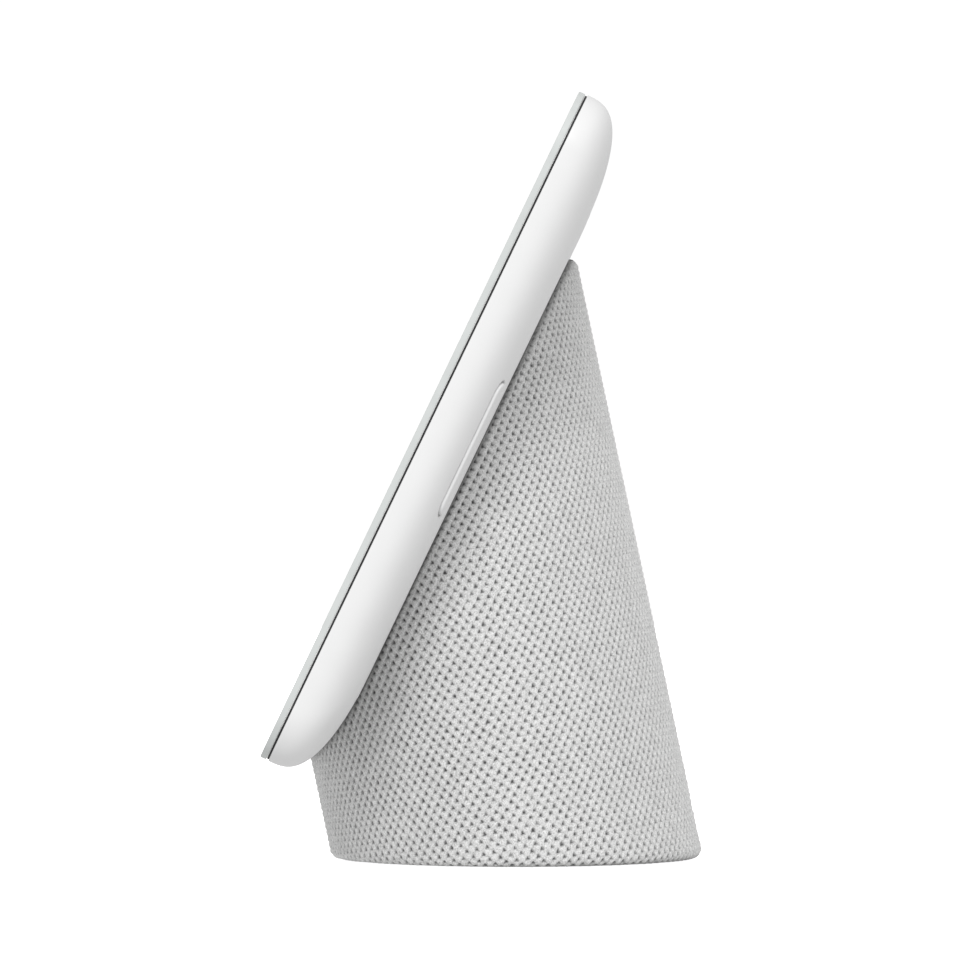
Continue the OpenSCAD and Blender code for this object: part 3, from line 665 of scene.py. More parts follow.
def sweep_depth(inset, depth=SHELL_DEPTH):
    """How far the shell's surface lies behind its rim, at a distance in from its outline."""
    t = np.clip(1 - np.asarray(inset, float) / SWEEP_W, 0, 1)
    return depth * (1 - t * t) ** (1 / SWEEP_POWER)


def sweep_slope(inset, depth):
    """How fast the shell's surface falls away from its rim there."""
    t = np.clip(1 - np.asarray(inset, float) / SWEEP_W, 0, 1)
    fall = (1 - t * t) ** (1 / SWEEP_POWER - 1)
    return depth / SWEEP_POWER * fall * 2 * t / SWEEP_W


def display_outline(inset, radius=CORNER_R):
    return rounded_rect(DISPLAY_W - 2 * inset, DISPLAY_H - 2 * inset, radius)


def display_ring(inset, z, radius=CORNER_R):
    return at_height(display_outline(inset, radius), z)


def slot_ring(length, width, z, on_surface=False):
    """An upright slot's outline at the rocker, at one height or z above the shell's surface."""
    outline = stadium(length, width)
    outline = np.stack([ROCKER_X - outline[:, 1], outline[:, 0]], 1)
    surface = -sweep_depth(DISPLAY_W / 2 - outline[:, 0]) if on_surface else 0
    return at_height(outline, surface + z)


def sweep_rings(depth, reach, count):
    """(inset, depth) pairs along the edge sweep, evenly spaced along its curve."""
    turn = np.linspace(0, 1, 4000) ** 2 * math.pi / 2
    inset = reach * (1 - np.cos(turn))
    drop = depth * np.sin(turn) ** (2 / SWEEP_POWER)
    length = np.concatenate([[0], np.cumsum(np.hypot(np.diff(inset), np.diff(drop)))])
    even = np.linspace(0, length[-1], count)
    return np.interp(even, length, inset), np.interp(even, length, drop)


RIM_ROUND = 0.00012
OUTER_RINGS, INNER_RINGS = 48, 16


def shell_body():
    """The shell before its openings are cut: outer sweep, rim, inner wall and flat back."""
    outer = list(zip(*sweep_rings(SHELL_DEPTH, SWEEP_W, OUTER_RINGS)))
    inner = zip(*sweep_rings(SHELL_DEPTH - BACK_WALL, SWEEP_W - SHELL_WALL, INNER_RINGS))
    rings = [display_ring(s, -d) for s, d in outer[:0:-1]]
    rings += [display_ring(s, -d) for s, d in quarter_round(RIM_ROUND, 3)]
    rings += [display_ring(SHELL_WALL + s, -d, CORNER_R - SHELL_WALL / 2) for s, d in inner]
    return lofted("shell_body", rings)


SLOT_ROUND, SLOT_FLARE, SLOT_FLARE_ANGLE = 0.00018, 0.0003, 60
CUT_INSIDE, CUT_OUTSIDE = -0.003, -SHELL_DEPTH - 0.002


def slot_cutter():
    """The rocker's slot, with its rim rounded over where it meets the sweep."""
    rings = [slot_ring(SLOT_L, SLOT_W, CUT_INSIDE)]
    for grow, below in quarter_round(SLOT_ROUND, 3, SLOT_FLARE_ANGLE):
        rings.append(slot_ring(SLOT_L + 2 * grow, SLOT_W + 2 * grow, below, True))
    grow += SLOT_FLARE * math.sin(math.radians(SLOT_FLARE_ANGLE))
    below -= SLOT_FLARE * math.cos(math.radians(SLOT_FLARE_ANGLE))
    rings.append(slot_ring(SLOT_L + 2 * grow, SLOT_W + 2 * grow, below, True))
    rings.append(slot_ring(SLOT_L + 2 * grow, SLOT_W + 2 * grow, CUT_OUTSIDE))
    return lofted("slot_cutter", rings)


RECESS_FLOOR = RECESS_DEPTH - SHELL_DEPTH
RECESS_SOFT, RECESS_SOFT_ANGLE, RECESS_FLARE, PAST_SHELL = 0.00025, 66, 0.0005, 0.0003
STEM_CLEARANCE, STEM_CUT_FROM, STEM_CUT_TO = 0.0005, -0.0085, -0.005
FLAG_FROM_END, FLAG_L, FLAG_W = 0.00105, 0.0011, 0.0016
POCKET_ABOVE, POCKET_DEPTH = 0.0004, 0.00017


def knob_cutters():
    """The switch's recess with a softened rim, its stem slot and the flag's pocket."""
    rings = [at_height(stadium(RECESS_L, RECESS_W), RECESS_FLOOR)]
    for grow, below in quarter_round(RECESS_SOFT, 3, RECESS_SOFT_ANGLE):
        outline = stadium(RECESS_L + 2 * grow, RECESS_W + 2 * grow)
        rings.append(at_height(outline, below - SHELL_DEPTH))
    grow += RECESS_FLARE
    outline = stadium(RECESS_L + 2 * grow, RECESS_W + 2 * grow)
    rings.append(at_height(outline, -SHELL_DEPTH - PAST_SHELL))
    recess = shifted(lofted("recess", rings), 0, KNOB_Y)
    stem = slab("stem_slot", 0, KNOB_Y, STEM_L + KNOB_TRAVEL + STEM_CLEARANCE,
                STEM_W + STEM_CLEARANCE, STEM_CUT_FROM, STEM_CUT_TO)
    flag = slab("flag_pocket", FLAG_FROM_END - RECESS_L / 2, KNOB_Y, FLAG_L, FLAG_W,
                RECESS_FLOOR - POCKET_ABOVE, RECESS_FLOOR + POCKET_DEPTH)
    return [recess, stem, flag]


FRAME_SCREWS = [(x * 0.074, y * 0.042) for x in (-1, 1) for y in (-1, 1)]
NECK_SCREWS = [(x * 0.040, y) for x in (-1, 1) for y in (-0.024, -0.002)]


BOSS_R, BOSS_TOP_R, BOSS_TOP, BOSS_CHAMFER, BOSS_ROOT = 0.0022, 0.002, -0.0045, 0.0002, 0.0004
PILOT_R, PILOT_FLARE = 0.00082, 1.2


def screw_boss(x, y):
    """A tube that stands on the shell's inner wall, with a pilot hole for its screw."""
    floor = BACK_WALL - SHELL_DEPTH
    profile = [(BOSS_R, floor - BOSS_ROOT), (BOSS_R, BOSS_TOP - BOSS_CHAMFER),
               (BOSS_TOP_R, BOSS_TOP), (PILOT_R * PILOT_FLARE, BOSS_TOP),
               (PILOT_R, BOSS_TOP - BOSS_CHAMFER), (PILOT_R, floor)]
    return shifted(lofted("boss", [at_height(circle(r), z) for r, z in profile]), x, y)


WINDOW_CUT = (-0.0105, -0.005)
RIBBON_L, RIBBON_W, RIBBON_Y, NECK_HOLE_R = 0.018, 0.012, -0.012, 0.0013


def make_rear_shell():
    """The shell with its openings cut, and its four bosses."""
    ribbon = bar("ribbon_window", stadium(RIBBON_L, RIBBON_W), *WINDOW_CUT)
    holes = [shifted(bar("hole", circle(NECK_HOLE_R), *WINDOW_CUT), x, y) for x, y in NECK_SCREWS]
    shell = carved("rear_shell_smooth", shell_body(),
                   [slot_cutter(), *knob_cutters(), shifted(ribbon, 0, RIBBON_Y), *holes])
    add_piece(shell, on_display, "housing", "white_plastic", "rear_shell")
    bosses = joined("screw_bosses", *[screw_boss(x, y) for x, y in FRAME_SCREWS])
    smooth(bosses)
    add_piece(bosses, on_display, "housing", "white_plastic")


PROUD, ROCKER_ROUND, ROCKER_SEEN_GAP = 0.00032, 0.0003, 0.00046
UNDER_CHAMFER, THINNEST = 0.0002, 0.00002
LUG_X, LUG_W, LUG_H, LUG_PAST_PIN = 0.0015, 0.0012, 0.0026, 0.00085
PRESSER_W, PRESSER_GAP = 0.0016, 0.00025


def make_volume_rocker():
    """The rocker's cap follows the shell's sweep, a hair proud, with softly rounded edges."""
    length, width = SLOT_L - 2 * ROCKER_SEEN_GAP, SLOT_W - 2 * ROCKER_SEEN_GAP
    root = ROCKER_UNDER_Z - UNDER_CHAMFER

    def ring(inset, z, on_surface=False):
        thin = max(width - 2 * inset, THINNEST)
        return slot_ring(length - 2 * inset, thin, z, on_surface)

    rings = [ring(UNDER_CHAMFER, ROCKER_UNDER_Z), ring(0, root)]
    rings += [ring(inset, drop - PROUD, True) for inset, drop in quarter_round(ROCKER_ROUND, 8)]
    rings += [ring(inset, -PROUD, True) for inset in np.linspace(ROCKER_ROUND, width / 2, 9)[1:]]
    parts = [lofted("rocker_cap", rings)]
    for side in (-1, 1):
        parts.append(slab("lug", ROCKER_X + side * LUG_X, 0, LUG_W, LUG_H,
                          root, ROCKER_PIN_Z + LUG_PAST_PIN))
        parts.append(slab("presser", ROCKER_X, side * TACT_Y, PRESSER_W, PRESSER_W,
                          root, TACT_TOP_Z - PRESSER_GAP))
    mesh = joined("volume_rocker_cap", *parts)
    smooth(mesh, 40)
    add_piece(mesh, on_display, "volume_key", "white_plastic", "volume_rocker")


KNOB_GAP, KNOB_ROUND = 0.00003, 0.0003
GROOVES, GROOVE_PITCH, GROOVE_L, GROOVE_W, GROOVE_DEPTH = 5, 0.0007, 0.0026, 0.00025, 0.00015


def make_switch_knob():
    """A rounded knob with grip grooves across it, and its stem."""
    cap_z = RECESS_FLOOR - KNOB_GAP
    top_z = cap_z - KNOB_H
    cap = prism("knob_cap", lambda inset: stadium(KNOB_L - 2 * inset, KNOB_W - 2 * inset),
                top_z, cap_z, round_low=KNOB_ROUND)
    grooves = []
    for k in range(GROOVES):
        groove = bar("groove", stadium(GROOVE_L, GROOVE_W)[::-1, ::-1],
                     top_z - PAST_SHELL, top_z + GROOVE_DEPTH)
        grooves.append(shifted(groove, (k - (GROOVES - 1) / 2) * GROOVE_PITCH, 0))
    cap = carved("mic_knob_cap", cap, grooves)
    stem = slab("mic_knob_stem", 0, 0, STEM_L, STEM_W, cap_z, STEM_TIP_Z)
    for mesh, *nodes in ((cap, "mic_switch_knob"), (stem,)):
        shifted(mesh, -KNOB_TRAVEL / 2, KNOB_Y)
        add_piece(mesh, on_display, "mic_slider", "white_plastic", *nodes)


GLASS_FRONT = GASKET_T + INK_T + GLASS_T
GLASS_BACK_ROUND, GLASS_FRONT_ROUND, FILM_ROUND = 0.0001, 0.00016, 0.00003
CUTTER_REACH = 0.001
WINDOW_CORNER_R, FILM_CORNER_R, WINDOW_STEPS = 0.0003, 0.0002, (4, 4)
SQUARE_ON = 0.9999  # how squarely a face of the glass points forwards or backwards to be clear


def mic_hole_cutters(low, high, *more):
    """Round cutters for the two microphone holes and more (x, radius) holes in their row."""
    places = [(-MIC_X, MIC_HOLE_R), (MIC_X, MIC_HOLE_R), *more]
    return [shifted(bar("hole", circle(r, 32), low, high), x, MIC_ROW_Y) for x, r in places]


def make_glass():
    """The cover glass: a clear face and back, and a ground edge with a softened front."""
    back = GLASS_FRONT - GLASS_T + FILM_GAP

    def outline(inset):
        return display_outline(GLASS_INSET + inset, CORNER_R - inset)

    pane = prism("glass", outline, back, GLASS_FRONT, GLASS_BACK_ROUND, GLASS_FRONT_ROUND)
    holes = mic_hole_cutters(back - CUTTER_REACH, GLASS_FRONT + CUTTER_REACH)
    glass = carved("cover_glass_pane", pane, holes)
    glass.materials.clear()
    glass.materials.append(LOOKS["glass_edge"])
    glass.materials.append(LOOKS["clear_glass"])
    for face in glass.polygons:
        face.material_index = int(abs(face.normal.z) > SQUARE_ON)
    add_piece(glass, on_display, "housing", "cover_glass", "cover_glass")


def make_adhesive():
    """The clear film between the panel and the glass, a hair clear of both."""
    def outline(inset):
        shrink = 2 * INSIDE_WINDOW + 2 * inset
        return rounded_rect(WINDOW_W - shrink, WINDOW_H - shrink, FILM_CORNER_R, *WINDOW_STEPS)

    film = prism("adhesive_film", outline, GASKET_T + FILM_GAP, GASKET_T + INK_T,
                 FILM_ROUND, FILM_ROUND, 2)
    add_piece(film, on_display, "housing", "clear_adhesive", "optical_adhesive")


def make_border_ink():
    """The printed border, with its window and the holes for the microphones and the sensor."""
    low, high = GASKET_T - CUTTER_REACH, GASKET_T + CUTTER_REACH
    sheet = bar("ink", display_outline(INK_INSET), GASKET_T, GASKET_T + INK_T)
    window = rounded_rect(WINDOW_W, WINDOW_H, WINDOW_CORNER_R, *WINDOW_STEPS)
    holes = mic_hole_cutters(low, high, (0, SENSOR_HOLE_R))
    ink = carved("border_ink_print", sheet, [bar("window", window, low, high), *holes])
    add_piece(ink, on_display, "housing", "white_ink", "border_ink")


def make_gasket():
    """A closed band whose outer face bulges slightly."""
    outer, inner = GASKET_INSET, GASKET_INSET + GASKET_W
    profile = [(inner, 0), (outer, 0), (outer - GASKET_BULGE, GASKET_T / 2), (outer, GASKET_T),
               (inner, GASKET_T), (inner, 0)]
    mesh = lofted("gasket_band", [display_ring(s, z) for s, z in profile], capped=False)
    face_outwards(mesh)
    smooth(mesh)
    add_piece(mesh, on_display, "housing", "black_gasket", "glass_gasket")


# ---- the knitted sleeve ----

COURSE_W, ROW_H = 0.00168, 0.00099
PER_COURSE, PER_ROW = 8, 6
SHOULDER_R, SHOULDER_STEPS = 0.0003, 4
HEM_R, HEM_STEPS = 0.0014, 12
TUCK, TUCK_STEPS = 0.0006, 6
SLEEVE_TOP = 0.110
PEAK_Z, PEAK_ROUND = 0.09456, 0.0009
LUMP, PIT_DEPTH, CREASE_DEPTH = 0.00025, 0.00044, 0.00028
KNIT_LIFT = -0.00002
# The courses stretch wider on the oval's flat front and back, and there the painted shade in holes and
# creases is made stronger.
FLAT_STRETCH, FLAT_SIDE_DARKENING = 0.53, 0.5
# Width of the painted shade beside the seam under the display
SEAM_SHADE_W = 0.0014
# How strongly holes and creases darken the yarn (a dark backing in holes, painted shade in both), how
# much of that stays at the sleeve's ends, and the height over which the ends fade
HOLE_DARKENING, CREASE_SHADE, DARKENING_AT_EDGE, EDGE_FADE_H = 1.4, 0.65, 0.4, 0.0005
# Where the painted shade round the hem's underside starts, and over what height it fades
HEM_SHADE_FROM, HEM_SHADE_H = 1.25 * HEM_R, 0.6 * HEM_R

# Slow waves that the loops wander by: their size, and their turn per course and per row
WANDERS = [(0.12, 2 * math.pi / 19, 2 * math.pi / 31), (0.1, 1 / 7.3, -1 / 11)]
U_WANDER, V_WANDER = 0.3, 0.5

# How the loops vary, in courses and rows, and how deep their holes are
KNIT_SEED, SPARE_ROWS = 7, 8
SIZE_SPREAD, U_SPREAD, V_SPREAD, LEAN_SPREAD = 0.09, 0.018, 0.03, 0.08
DEPTH_MEAN, DEPTH_SPREAD, DEPTH_LEAST = 0.85, 0.15, 0.5
# A hole's half width at its middle, how it narrows upwards and its limits, and its reach
# up and down; then a crease's start, length, distance aside, spread and half width; in mm
HOLE_W, HOLE_TAPER, HOLE_W_LEAST, HOLE_W_MOST, HOLE_UP, HOLE_DOWN = 0.175, 0.22, 0.07, 0.26, 0.28, 0.25
CREASE_FROM, CREASE_L, CREASE_ASIDE, CREASE_SPREAD, CREASE_W = 0.10, 0.56, 0.13, 0.42, 0.09


def oval_normal(angle):
    """Outward unit normals of the leaning oval, in the base's frame."""
    n = np.stack([np.cos(angle) / BASE_A, np.sin(angle) / BASE_B, np.zeros_like(angle)], -1)
    return n / np.linalg.norm(n, axis=-1, keepdims=True)


def oval_table(samples=20000):
    """Angles round the oval, the length along it to each and the courses passed by then.

    The courses are stretched wider on the oval's flat front and back."""
    angle = np.linspace(0, 2 * math.pi, samples + 1)
    speed = np.hypot(BASE_A * np.sin(angle), BASE_B * np.cos(angle))
    course = COURSE_W * (1 + FLAT_STRETCH * oval_normal(angle)[:, 1] ** 4)

    def summed(rate):
        steps = (rate[1:] + rate[:-1]) / 2 * np.diff(angle)
        return np.concatenate([[0], np.cumsum(steps)])

    return angle, summed(speed), summed(speed / course)


COURSES = round(oval_table()[2][-1])


def column_point(angle, z):
    return np.stack([BASE_A * np.cos(angle), BASE_B * np.sin(angle), z], -1)


def to_base(points):
    p = np.asarray(points, float) - [0, BASE_Y, 0]
    return tilted(p, -BASE_LEAN, 0, 0)


def behind_display(angle, z):
    """How far a column's point stands in front of (+) the display's back surface."""
    p = to_display(on_base(column_point(angle, z)))
    inset = p[..., 1] + DISPLAY_H / 2 + SEAT_GAP
    return p[..., 2] + sweep_depth(np.maximum(inset, 0), SHELL_DEPTH + SEAT_GAP)


def hem_height(angle):
    """Where each column reaches the hem's level, along the leaning column."""
    return (HEM_Z - BASE_B * np.sin(angle) * math.sin(BASE_LEAN)) / math.cos(BASE_LEAN)


def top_meeting(angle):
    """Where each column meets the display's back, and the display's inward normal there."""
    low, high = hem_height(angle), np.full_like(angle, SLEEVE_TOP)
    for _ in range(50):
        middle = (low + high) / 2
        inside = behind_display(angle, middle) < 0
        low, high = np.where(inside, middle, low), np.where(inside, high, middle)
    p = on_base(column_point(angle, low))
    inset = to_display(p)[..., 1] + DISPLAY_H / 2 + SEAT_GAP
    slope = sweep_slope(np.maximum(inset, 0.0002), SHELL_DEPTH + SEAT_GAP)
    n = np.stack([np.zeros_like(slope), slope, np.ones_like(slope)], -1)
    n /= np.linalg.norm(n, axis=-1, keepdims=True)
    return p, tilted(n, math.pi / 2 - DISPLAY_LEAN, 0, 0)


def hem_meeting(angle):
    down = np.broadcast_to([0.0, 0.0, -1.0], (*angle.shape, 3))
    return on_base(column_point(angle, hem_height(angle))), down


def turn_centres(meeting, radius, angle):
    p, other = meeting(angle)
    side = tilted(oval_normal(angle), BASE_LEAN, 0, 0)
    facing = np.sum(side * other, axis=-1, keepdims=True)
    return p - radius * (side + other) / (1 + facing), side, other


def rounded_turn(meeting, radius, angle):
    """The rounded turn from the sleeve's side onto another surface.

    Gives, for each column, the height where the turn starts, its centre, and the directions
    from the centre at its two ends."""
    trial = np.linspace(0, 2 * math.pi, 7201)
    centre, side, _ = turn_centres(meeting, radius, trial)
    start = to_base(centre + radius * side)
    reached = np.unwrap(np.arctan2(start[:, 1] / BASE_B, start[:, 0] / BASE_A))
    below, above = angle < reached[0], angle > reached[-1]
    whole_turn = 2 * math.pi * (below.astype(float) - above)
    source = np.interp(angle + whole_turn, reached, trial) - whole_turn
    centre, side, other = turn_centres(meeting, radius, source)
    return to_base(centre + radius * side)[:, 2], centre, side, other


def turn_rings(turn, radius, steps, upwards):
    """Rings round a turn: their points, outward directions and heights up the knit."""
    start_z, centre, side, other = turn
    between = np.arccos(np.clip(np.sum(side * other, -1), -1, 1))[:, None]
    rings = []
    for w in np.linspace(0, 1, steps + 1)[1:]:
        direction = np.sin((1 - w) * between) * side + np.sin(w * between) * other
        direction /= np.sin(between)
        z = start_z + upwards * w * radius * between[:, 0]
        rings.append((centre + direction * radius, direction, z))
    return [np.stack(part) for part in zip(*rings)]


def side_along(side, other):
    """The part of side that lies along the other surface, as unit vectors."""
    t = side - np.sum(side * other, -1, keepdims=True) * other
    return t / np.linalg.norm(t, axis=-1, keepdims=True)


def knit_pattern(u, v):
    """The knit's relief, holes and creases, at u courses round and v rows up.

    Loops sit in a brick pattern. Each opens into a small teardrop hole, wide at its foot, and
    two creases run down from the hole round the head of the loop below."""
    random = np.random.default_rng(KNIT_SEED)
    loops = (int(v.max()) + SPARE_ROWS, COURSES)
    size = random.normal(1, SIZE_SPREAD, loops)
    shift_u = random.normal(0, U_SPREAD, loops)
    shift_v = random.normal(0, V_SPREAD, loops)
    lean = random.normal(0, LEAN_SPREAD, loops)
    depth = np.clip(random.normal(DEPTH_MEAN, DEPTH_SPREAD, loops), DEPTH_LEAST, 1)
    relief = -0.5 * np.cos(2 * math.pi * u) * np.cos(math.pi * v)
    hole, crease = np.zeros_like(u), np.zeros_like(u)
    for step in (-1, 0, 1, 2):
        row = np.floor(v).astype(int) + step
        offset = 0.5 * (row % 2)
        course = np.round(u - offset).astype(int)
        loop = np.clip(row + 3, 0, loops[0] - 1), course % COURSES
        du = (u - offset - course - shift_u[loop]) * COURSE_W * 1000
        dv = (v - row - shift_v[loop]) * ROW_H * 1000
        du = du - lean[loop] * dv
        width = np.clip((HOLE_W - HOLE_TAPER * dv) * size[loop], HOLE_W_LEAST, HOLE_W_MOST)
        tall = np.where(dv > 0, HOLE_UP, HOLE_DOWN) * size[loop]
        here = np.exp(-(du / width) ** 2) * np.exp(-np.abs(dv / tall) ** 3)
        hole = np.maximum(hole, here * depth[loop])
        along = np.clip((-dv - CREASE_FROM) / CREASE_L, 0, 1)
        off = np.abs(np.abs(du) - CREASE_ASIDE - CREASE_SPREAD * along)
        line = np.exp(-(off / CREASE_W) ** 2) * (1 - along) * (dv < -CREASE_FROM / 2)
        crease = np.maximum(crease, line)
    return relief, hole, crease


def flattened_peak(points, outward):
    """Cuts the peak level, and rounds its outer edge over."""
    rise = np.clip((points[..., 2] - PEAK_Z) / PEAK_ROUND + 1, 0, 1)
    inward = PEAK_ROUND * (1 - np.sqrt(1 - rise ** 2)) * (outward[..., 1] > 0.5)
    flat = points - inward[..., None] * outward
    flat[..., 2] = np.minimum(points[..., 2], PEAK_Z)
    return flat


def sleeve_columns():
    """The angle round the oval of each column of points, and its width on the flat cloth."""
    angle, length, course = oval_table()
    columns = COURSES * PER_COURSE
    passed = np.arange(columns + 1) * course[-1] / columns
    width = np.diff(np.interp(passed, course, length))
    return np.interp(passed, course, angle)[:-1], width


def knitted(angle, z, hem_z, top_z):
    """How far each point stands out from the surface, how dark its loop's hole and creases make it
    (a dark backing in the hole, painted shade in both), and its painted shade by the seam and hem."""
    u = np.broadcast_to(np.arange(len(angle)) / PER_COURSE, z.shape)
    v = (z - z.min()) / ROW_H
    wander = sum(size * np.sin(per_u * u + per_v * v) for size, per_u, per_v in WANDERS)
    relief, hole, crease = knit_pattern(u + U_WANDER * wander, v + V_WANDER * wander)
    height = KNIT_LIFT + LUMP * relief - PIT_DEPTH * hole - CREASE_DEPTH * crease
    fade = np.clip(np.minimum(z[-1] - z, z - z[0]) / EDGE_FADE_H, 0, 1)
    # Painted shade in holes and creases, stronger on the oval's flat front and back
    flat_side_darkening = 1 + FLAT_SIDE_DARKENING * oval_normal(angle)[:, 1] ** 2
    pit = np.clip((HOLE_DARKENING * hole + CREASE_SHADE * crease) * flat_side_darkening, 0, 1)
    pit *= DARKENING_AT_EDGE + (1 - DARKENING_AT_EDGE) * fade
    # Painted shade: darker towards the seam under the display and round the hem's underside
    to_seam = (top_z - z) / SEAM_SHADE_W
    to_hem = (z - hem_z + HEM_SHADE_FROM) / HEM_SHADE_H
    return height * fade, pit, np.clip(np.minimum(to_seam, to_hem), 0, 1)


def tucked_edges(points, hem_turn, top_turn):
    """Points that tuck in under the hem, and down behind the display to the peak's flat top."""
    hem_in = points[:1] - TUCK * side_along(*hem_turn[2:])
    reach = TUCK + np.maximum(points[-1, :, 2] - PEAK_Z, 0) / math.cos(DISPLAY_LEAN)
    share = np.linspace(0, 1, TUCK_STEPS + 1)[1:, None]
    top_in = points[-1] - (share * reach)[..., None] * side_along(*top_turn[2:])
    return np.concatenate([hem_in, points, top_in])


def column_faces(levels, hem_z, top_z, rows):
    """Quads between the columns. Rows past a column's ends are merged into its end point."""
    alive = (levels[:, None] > hem_z) & (levels[:, None] < top_z)
    first, last = alive.argmax(0), len(levels) - 1 - alive[::-1].argmax(0)
    kept = np.clip(np.arange(len(levels))[:, None], first - 1, last + 1)
    before, after = HEM_STEPS + 1, SHOULDER_STEPS + TUCK_STEPS
    row_of = np.arange(rows)[:, None] + np.zeros(len(hem_z), int)
    row_of[before:-after] = kept + before
    index = row_of * len(hem_z) + np.arange(len(hem_z))
    right = np.roll(index, -1, axis=1)
    return np.stack([index[:-1], right[:-1], right[1:], index[1:]], -1).reshape(-1, 4)


def make_sleeve():
    """The sleeve's points row by row from under the hem to inside the top, its faces, the painted
    shade of its holes, creases, seam and hem at each point, and the area of its flat cloth."""
    angle, column_w = sleeve_columns()
    top_turn = rounded_turn(top_meeting, SHOULDER_R, angle)
    hem_turn = rounded_turn(hem_meeting, HEM_R, angle)
    top_z, hem_z = top_turn[0], hem_turn[0]
    step = ROW_H / PER_ROW
    levels = np.arange(int(hem_z.min() / step), math.ceil(top_z.max() / step) + 1) * step
    z = np.clip(levels[:, None], hem_z, top_z)
    side = tilted(oval_normal(angle), BASE_LEAN, 0, 0)
    wall = on_base(column_point(np.broadcast_to(angle, z.shape), z))
    hem = turn_rings(hem_turn, HEM_R, HEM_STEPS, -1)
    top = turn_rings(top_turn, SHOULDER_R, SHOULDER_STEPS, 1)
    parts = zip(hem, (wall, np.broadcast_to(side, wall.shape), z), top)
    points, outward, z = [np.concatenate([low[::-1], middle, high]) for low, middle, high in parts]
    height, pit, shade = knitted(angle, z, hem_z, top_z)
    points = tucked_edges(points + height[..., None] * outward, hem_turn, top_turn)
    pit, shade = [np.pad(part, ((1, TUCK_STEPS), (0, 0))) for part in (pit, shade)]
    outward = np.pad(outward, ((1, TUCK_STEPS), (0, 0), (0, 0)), "edge")
    outward[-TUCK_STEPS:] = side
    points = flattened_peak(points, outward)
    quads = column_faces(levels, hem_z, top_z, len(points))
    flat_area = np.sum((top_z - hem_z) * column_w)
    return points.reshape(-1, 3), quads, pit.ravel(), shade.ravel(), flat_area


def opened_for_inlet(points, quads):
    """Moves the points next to the inlet's hole onto its edge and drops the faces inside it."""
    radius = BEZEL_R + INLET_CLEARANCE
    near = points[:, 1] > BASE_Y
    x, z = points[:, 0], points[:, 2] - INLET_Z
    r = np.hypot(x, z)
    band = near & (np.abs(r - radius) < INLET_BAND)
    grown = np.where(band, radius / np.maximum(r, 1e-9), 1)
    points[:, 0] = x * grown
    points[:, 2] = INLET_Z + z * grown
    inside = near & (r * grown < radius + 1e-7)
    return quads[~inside[quads].all(1)]


def split_faces(quads):
    """Quads whose repeated corners are dropped: true quads, and triangles."""
    same = [quads[:, k] == quads[:, (k + 1) % 4] for k in range(4)]
    repeats = sum(s.astype(int) for s in same)
    whole = quads[repeats == 0]
    triangles = [np.delete(quads[(repeats == 1) & same[k]], k, axis=1) for k in range(4)]
    return whole, np.concatenate(triangles)


def make_fabric():
    points, quads, pit, shade, flat_area = make_sleeve()
    quads = opened_for_inlet(points, quads)
    whole, triangles = split_faces(quads)
    used, packed = np.unique(np.concatenate([whole.ravel(), triangles.ravel()]),
                             return_inverse=True)
    whole = packed[:whole.size].reshape(-1, 4)
    triangles = packed[len(packed) - triangles.size:].reshape(-1, 3)
    mesh = new_mesh("knit_sleeve", points[used], whole, triangles)
    mesh.shade_smooth()
    # The knit's colour reads these: painted shade in holes and creases, with a dark backing in the
    # holes, and painted shade by the seam and the hem.
    for name, values in (("pit", pit), ("shade", shade)):
        layer = mesh.attributes.new(name, "FLOAT", "POINT")
        layer.data.foreach_set("value", values[used].astype(np.float32))
    piece = add_piece(mesh, as_is, "housing", "knit_fabric", "fabric_sleeve")


# ---- the foot and the inlet ----


def make_foot():
    """A soft pad with rounded edges and a shallow groove just inside its rim."""
    profile = [(0, FOOT_T), (0, FOOT_EDGE), (FOOT_EDGE / 3, FOOT_EDGE / 3), (FOOT_EDGE, 0),
               (GROOVE_FROM, 0), (GROOVE_FROM + GROOVE_SIDE, GROOVE_STEP),
               (GROOVE_FROM + 2 * GROOVE_SIDE, GROOVE_H), (GROOVE_TO - 2 * GROOVE_SIDE, GROOVE_H),
               (GROOVE_TO - GROOVE_SIDE, GROOVE_STEP), (GROOVE_TO, 0), (FOOT_INNER_RING, 0)]
    mesh = lofted("foot_pad_soft", [at_height(ellipse(FOOT_A - inset, FOOT_B - inset, 144), z)
                                    for inset, z in profile])
    smooth(mesh, 50)
    add_piece(shifted(mesh, 0, BASE_Y), as_is, "housing", "foot_rubber", "foot_pad")


def base_surface_y(x, z, grow):
    """Where the base's leaning oval, grown, lies behind a point (x, z)."""
    s, c = math.sin(BASE_LEAN), math.cos(BASE_LEAN)
    depth = (BASE_B + grow) * np.sqrt(1 - (x / (BASE_A + grow)) ** 2)
    # On the column, y_base = depth and z = y_base * s + z_base * c
    z_base = (z - depth * s) / c
    return BASE_Y + depth * c - z_base * s


def make_bezel():
    """A ring round the inlet; its rounded face follows the base's surface."""
    def ring(radius, y=BEZEL_BACK_Y, recess=None):
        x, z = circle(radius, 96).T
        z = z + INLET_Z
        if recess is not None:
            y = base_surface_y(x, z, -BEZEL_RECESS) - recess
        return np.column_stack([x, np.broadcast_to(y, len(x)), z])

    bore = JACK_R + JACK_CLEARANCE
    edge = quarter_round(BEZEL_EDGE, 4)
    rings = [ring(BEZEL_R)]
    rings += [ring(BEZEL_R - side, recess=recess) for side, recess in edge]
    rings += [ring(BEZEL_MOUTH_R + side, recess=recess) for side, recess in edge[::-1]]
    rings += [ring(BEZEL_MOUTH_R, BEZEL_LIP_Y), ring(bore, BEZEL_LIP_Y), ring(bore), rings[0]]
    mesh = lofted("inlet_ring", rings, capped=False)
    face_outwards(mesh, weld=1e-7)
    smooth(mesh)
    add_piece(mesh, as_is, "housing", "white_plastic", "jack_bezel")


# ---- the speaker's suspension ----

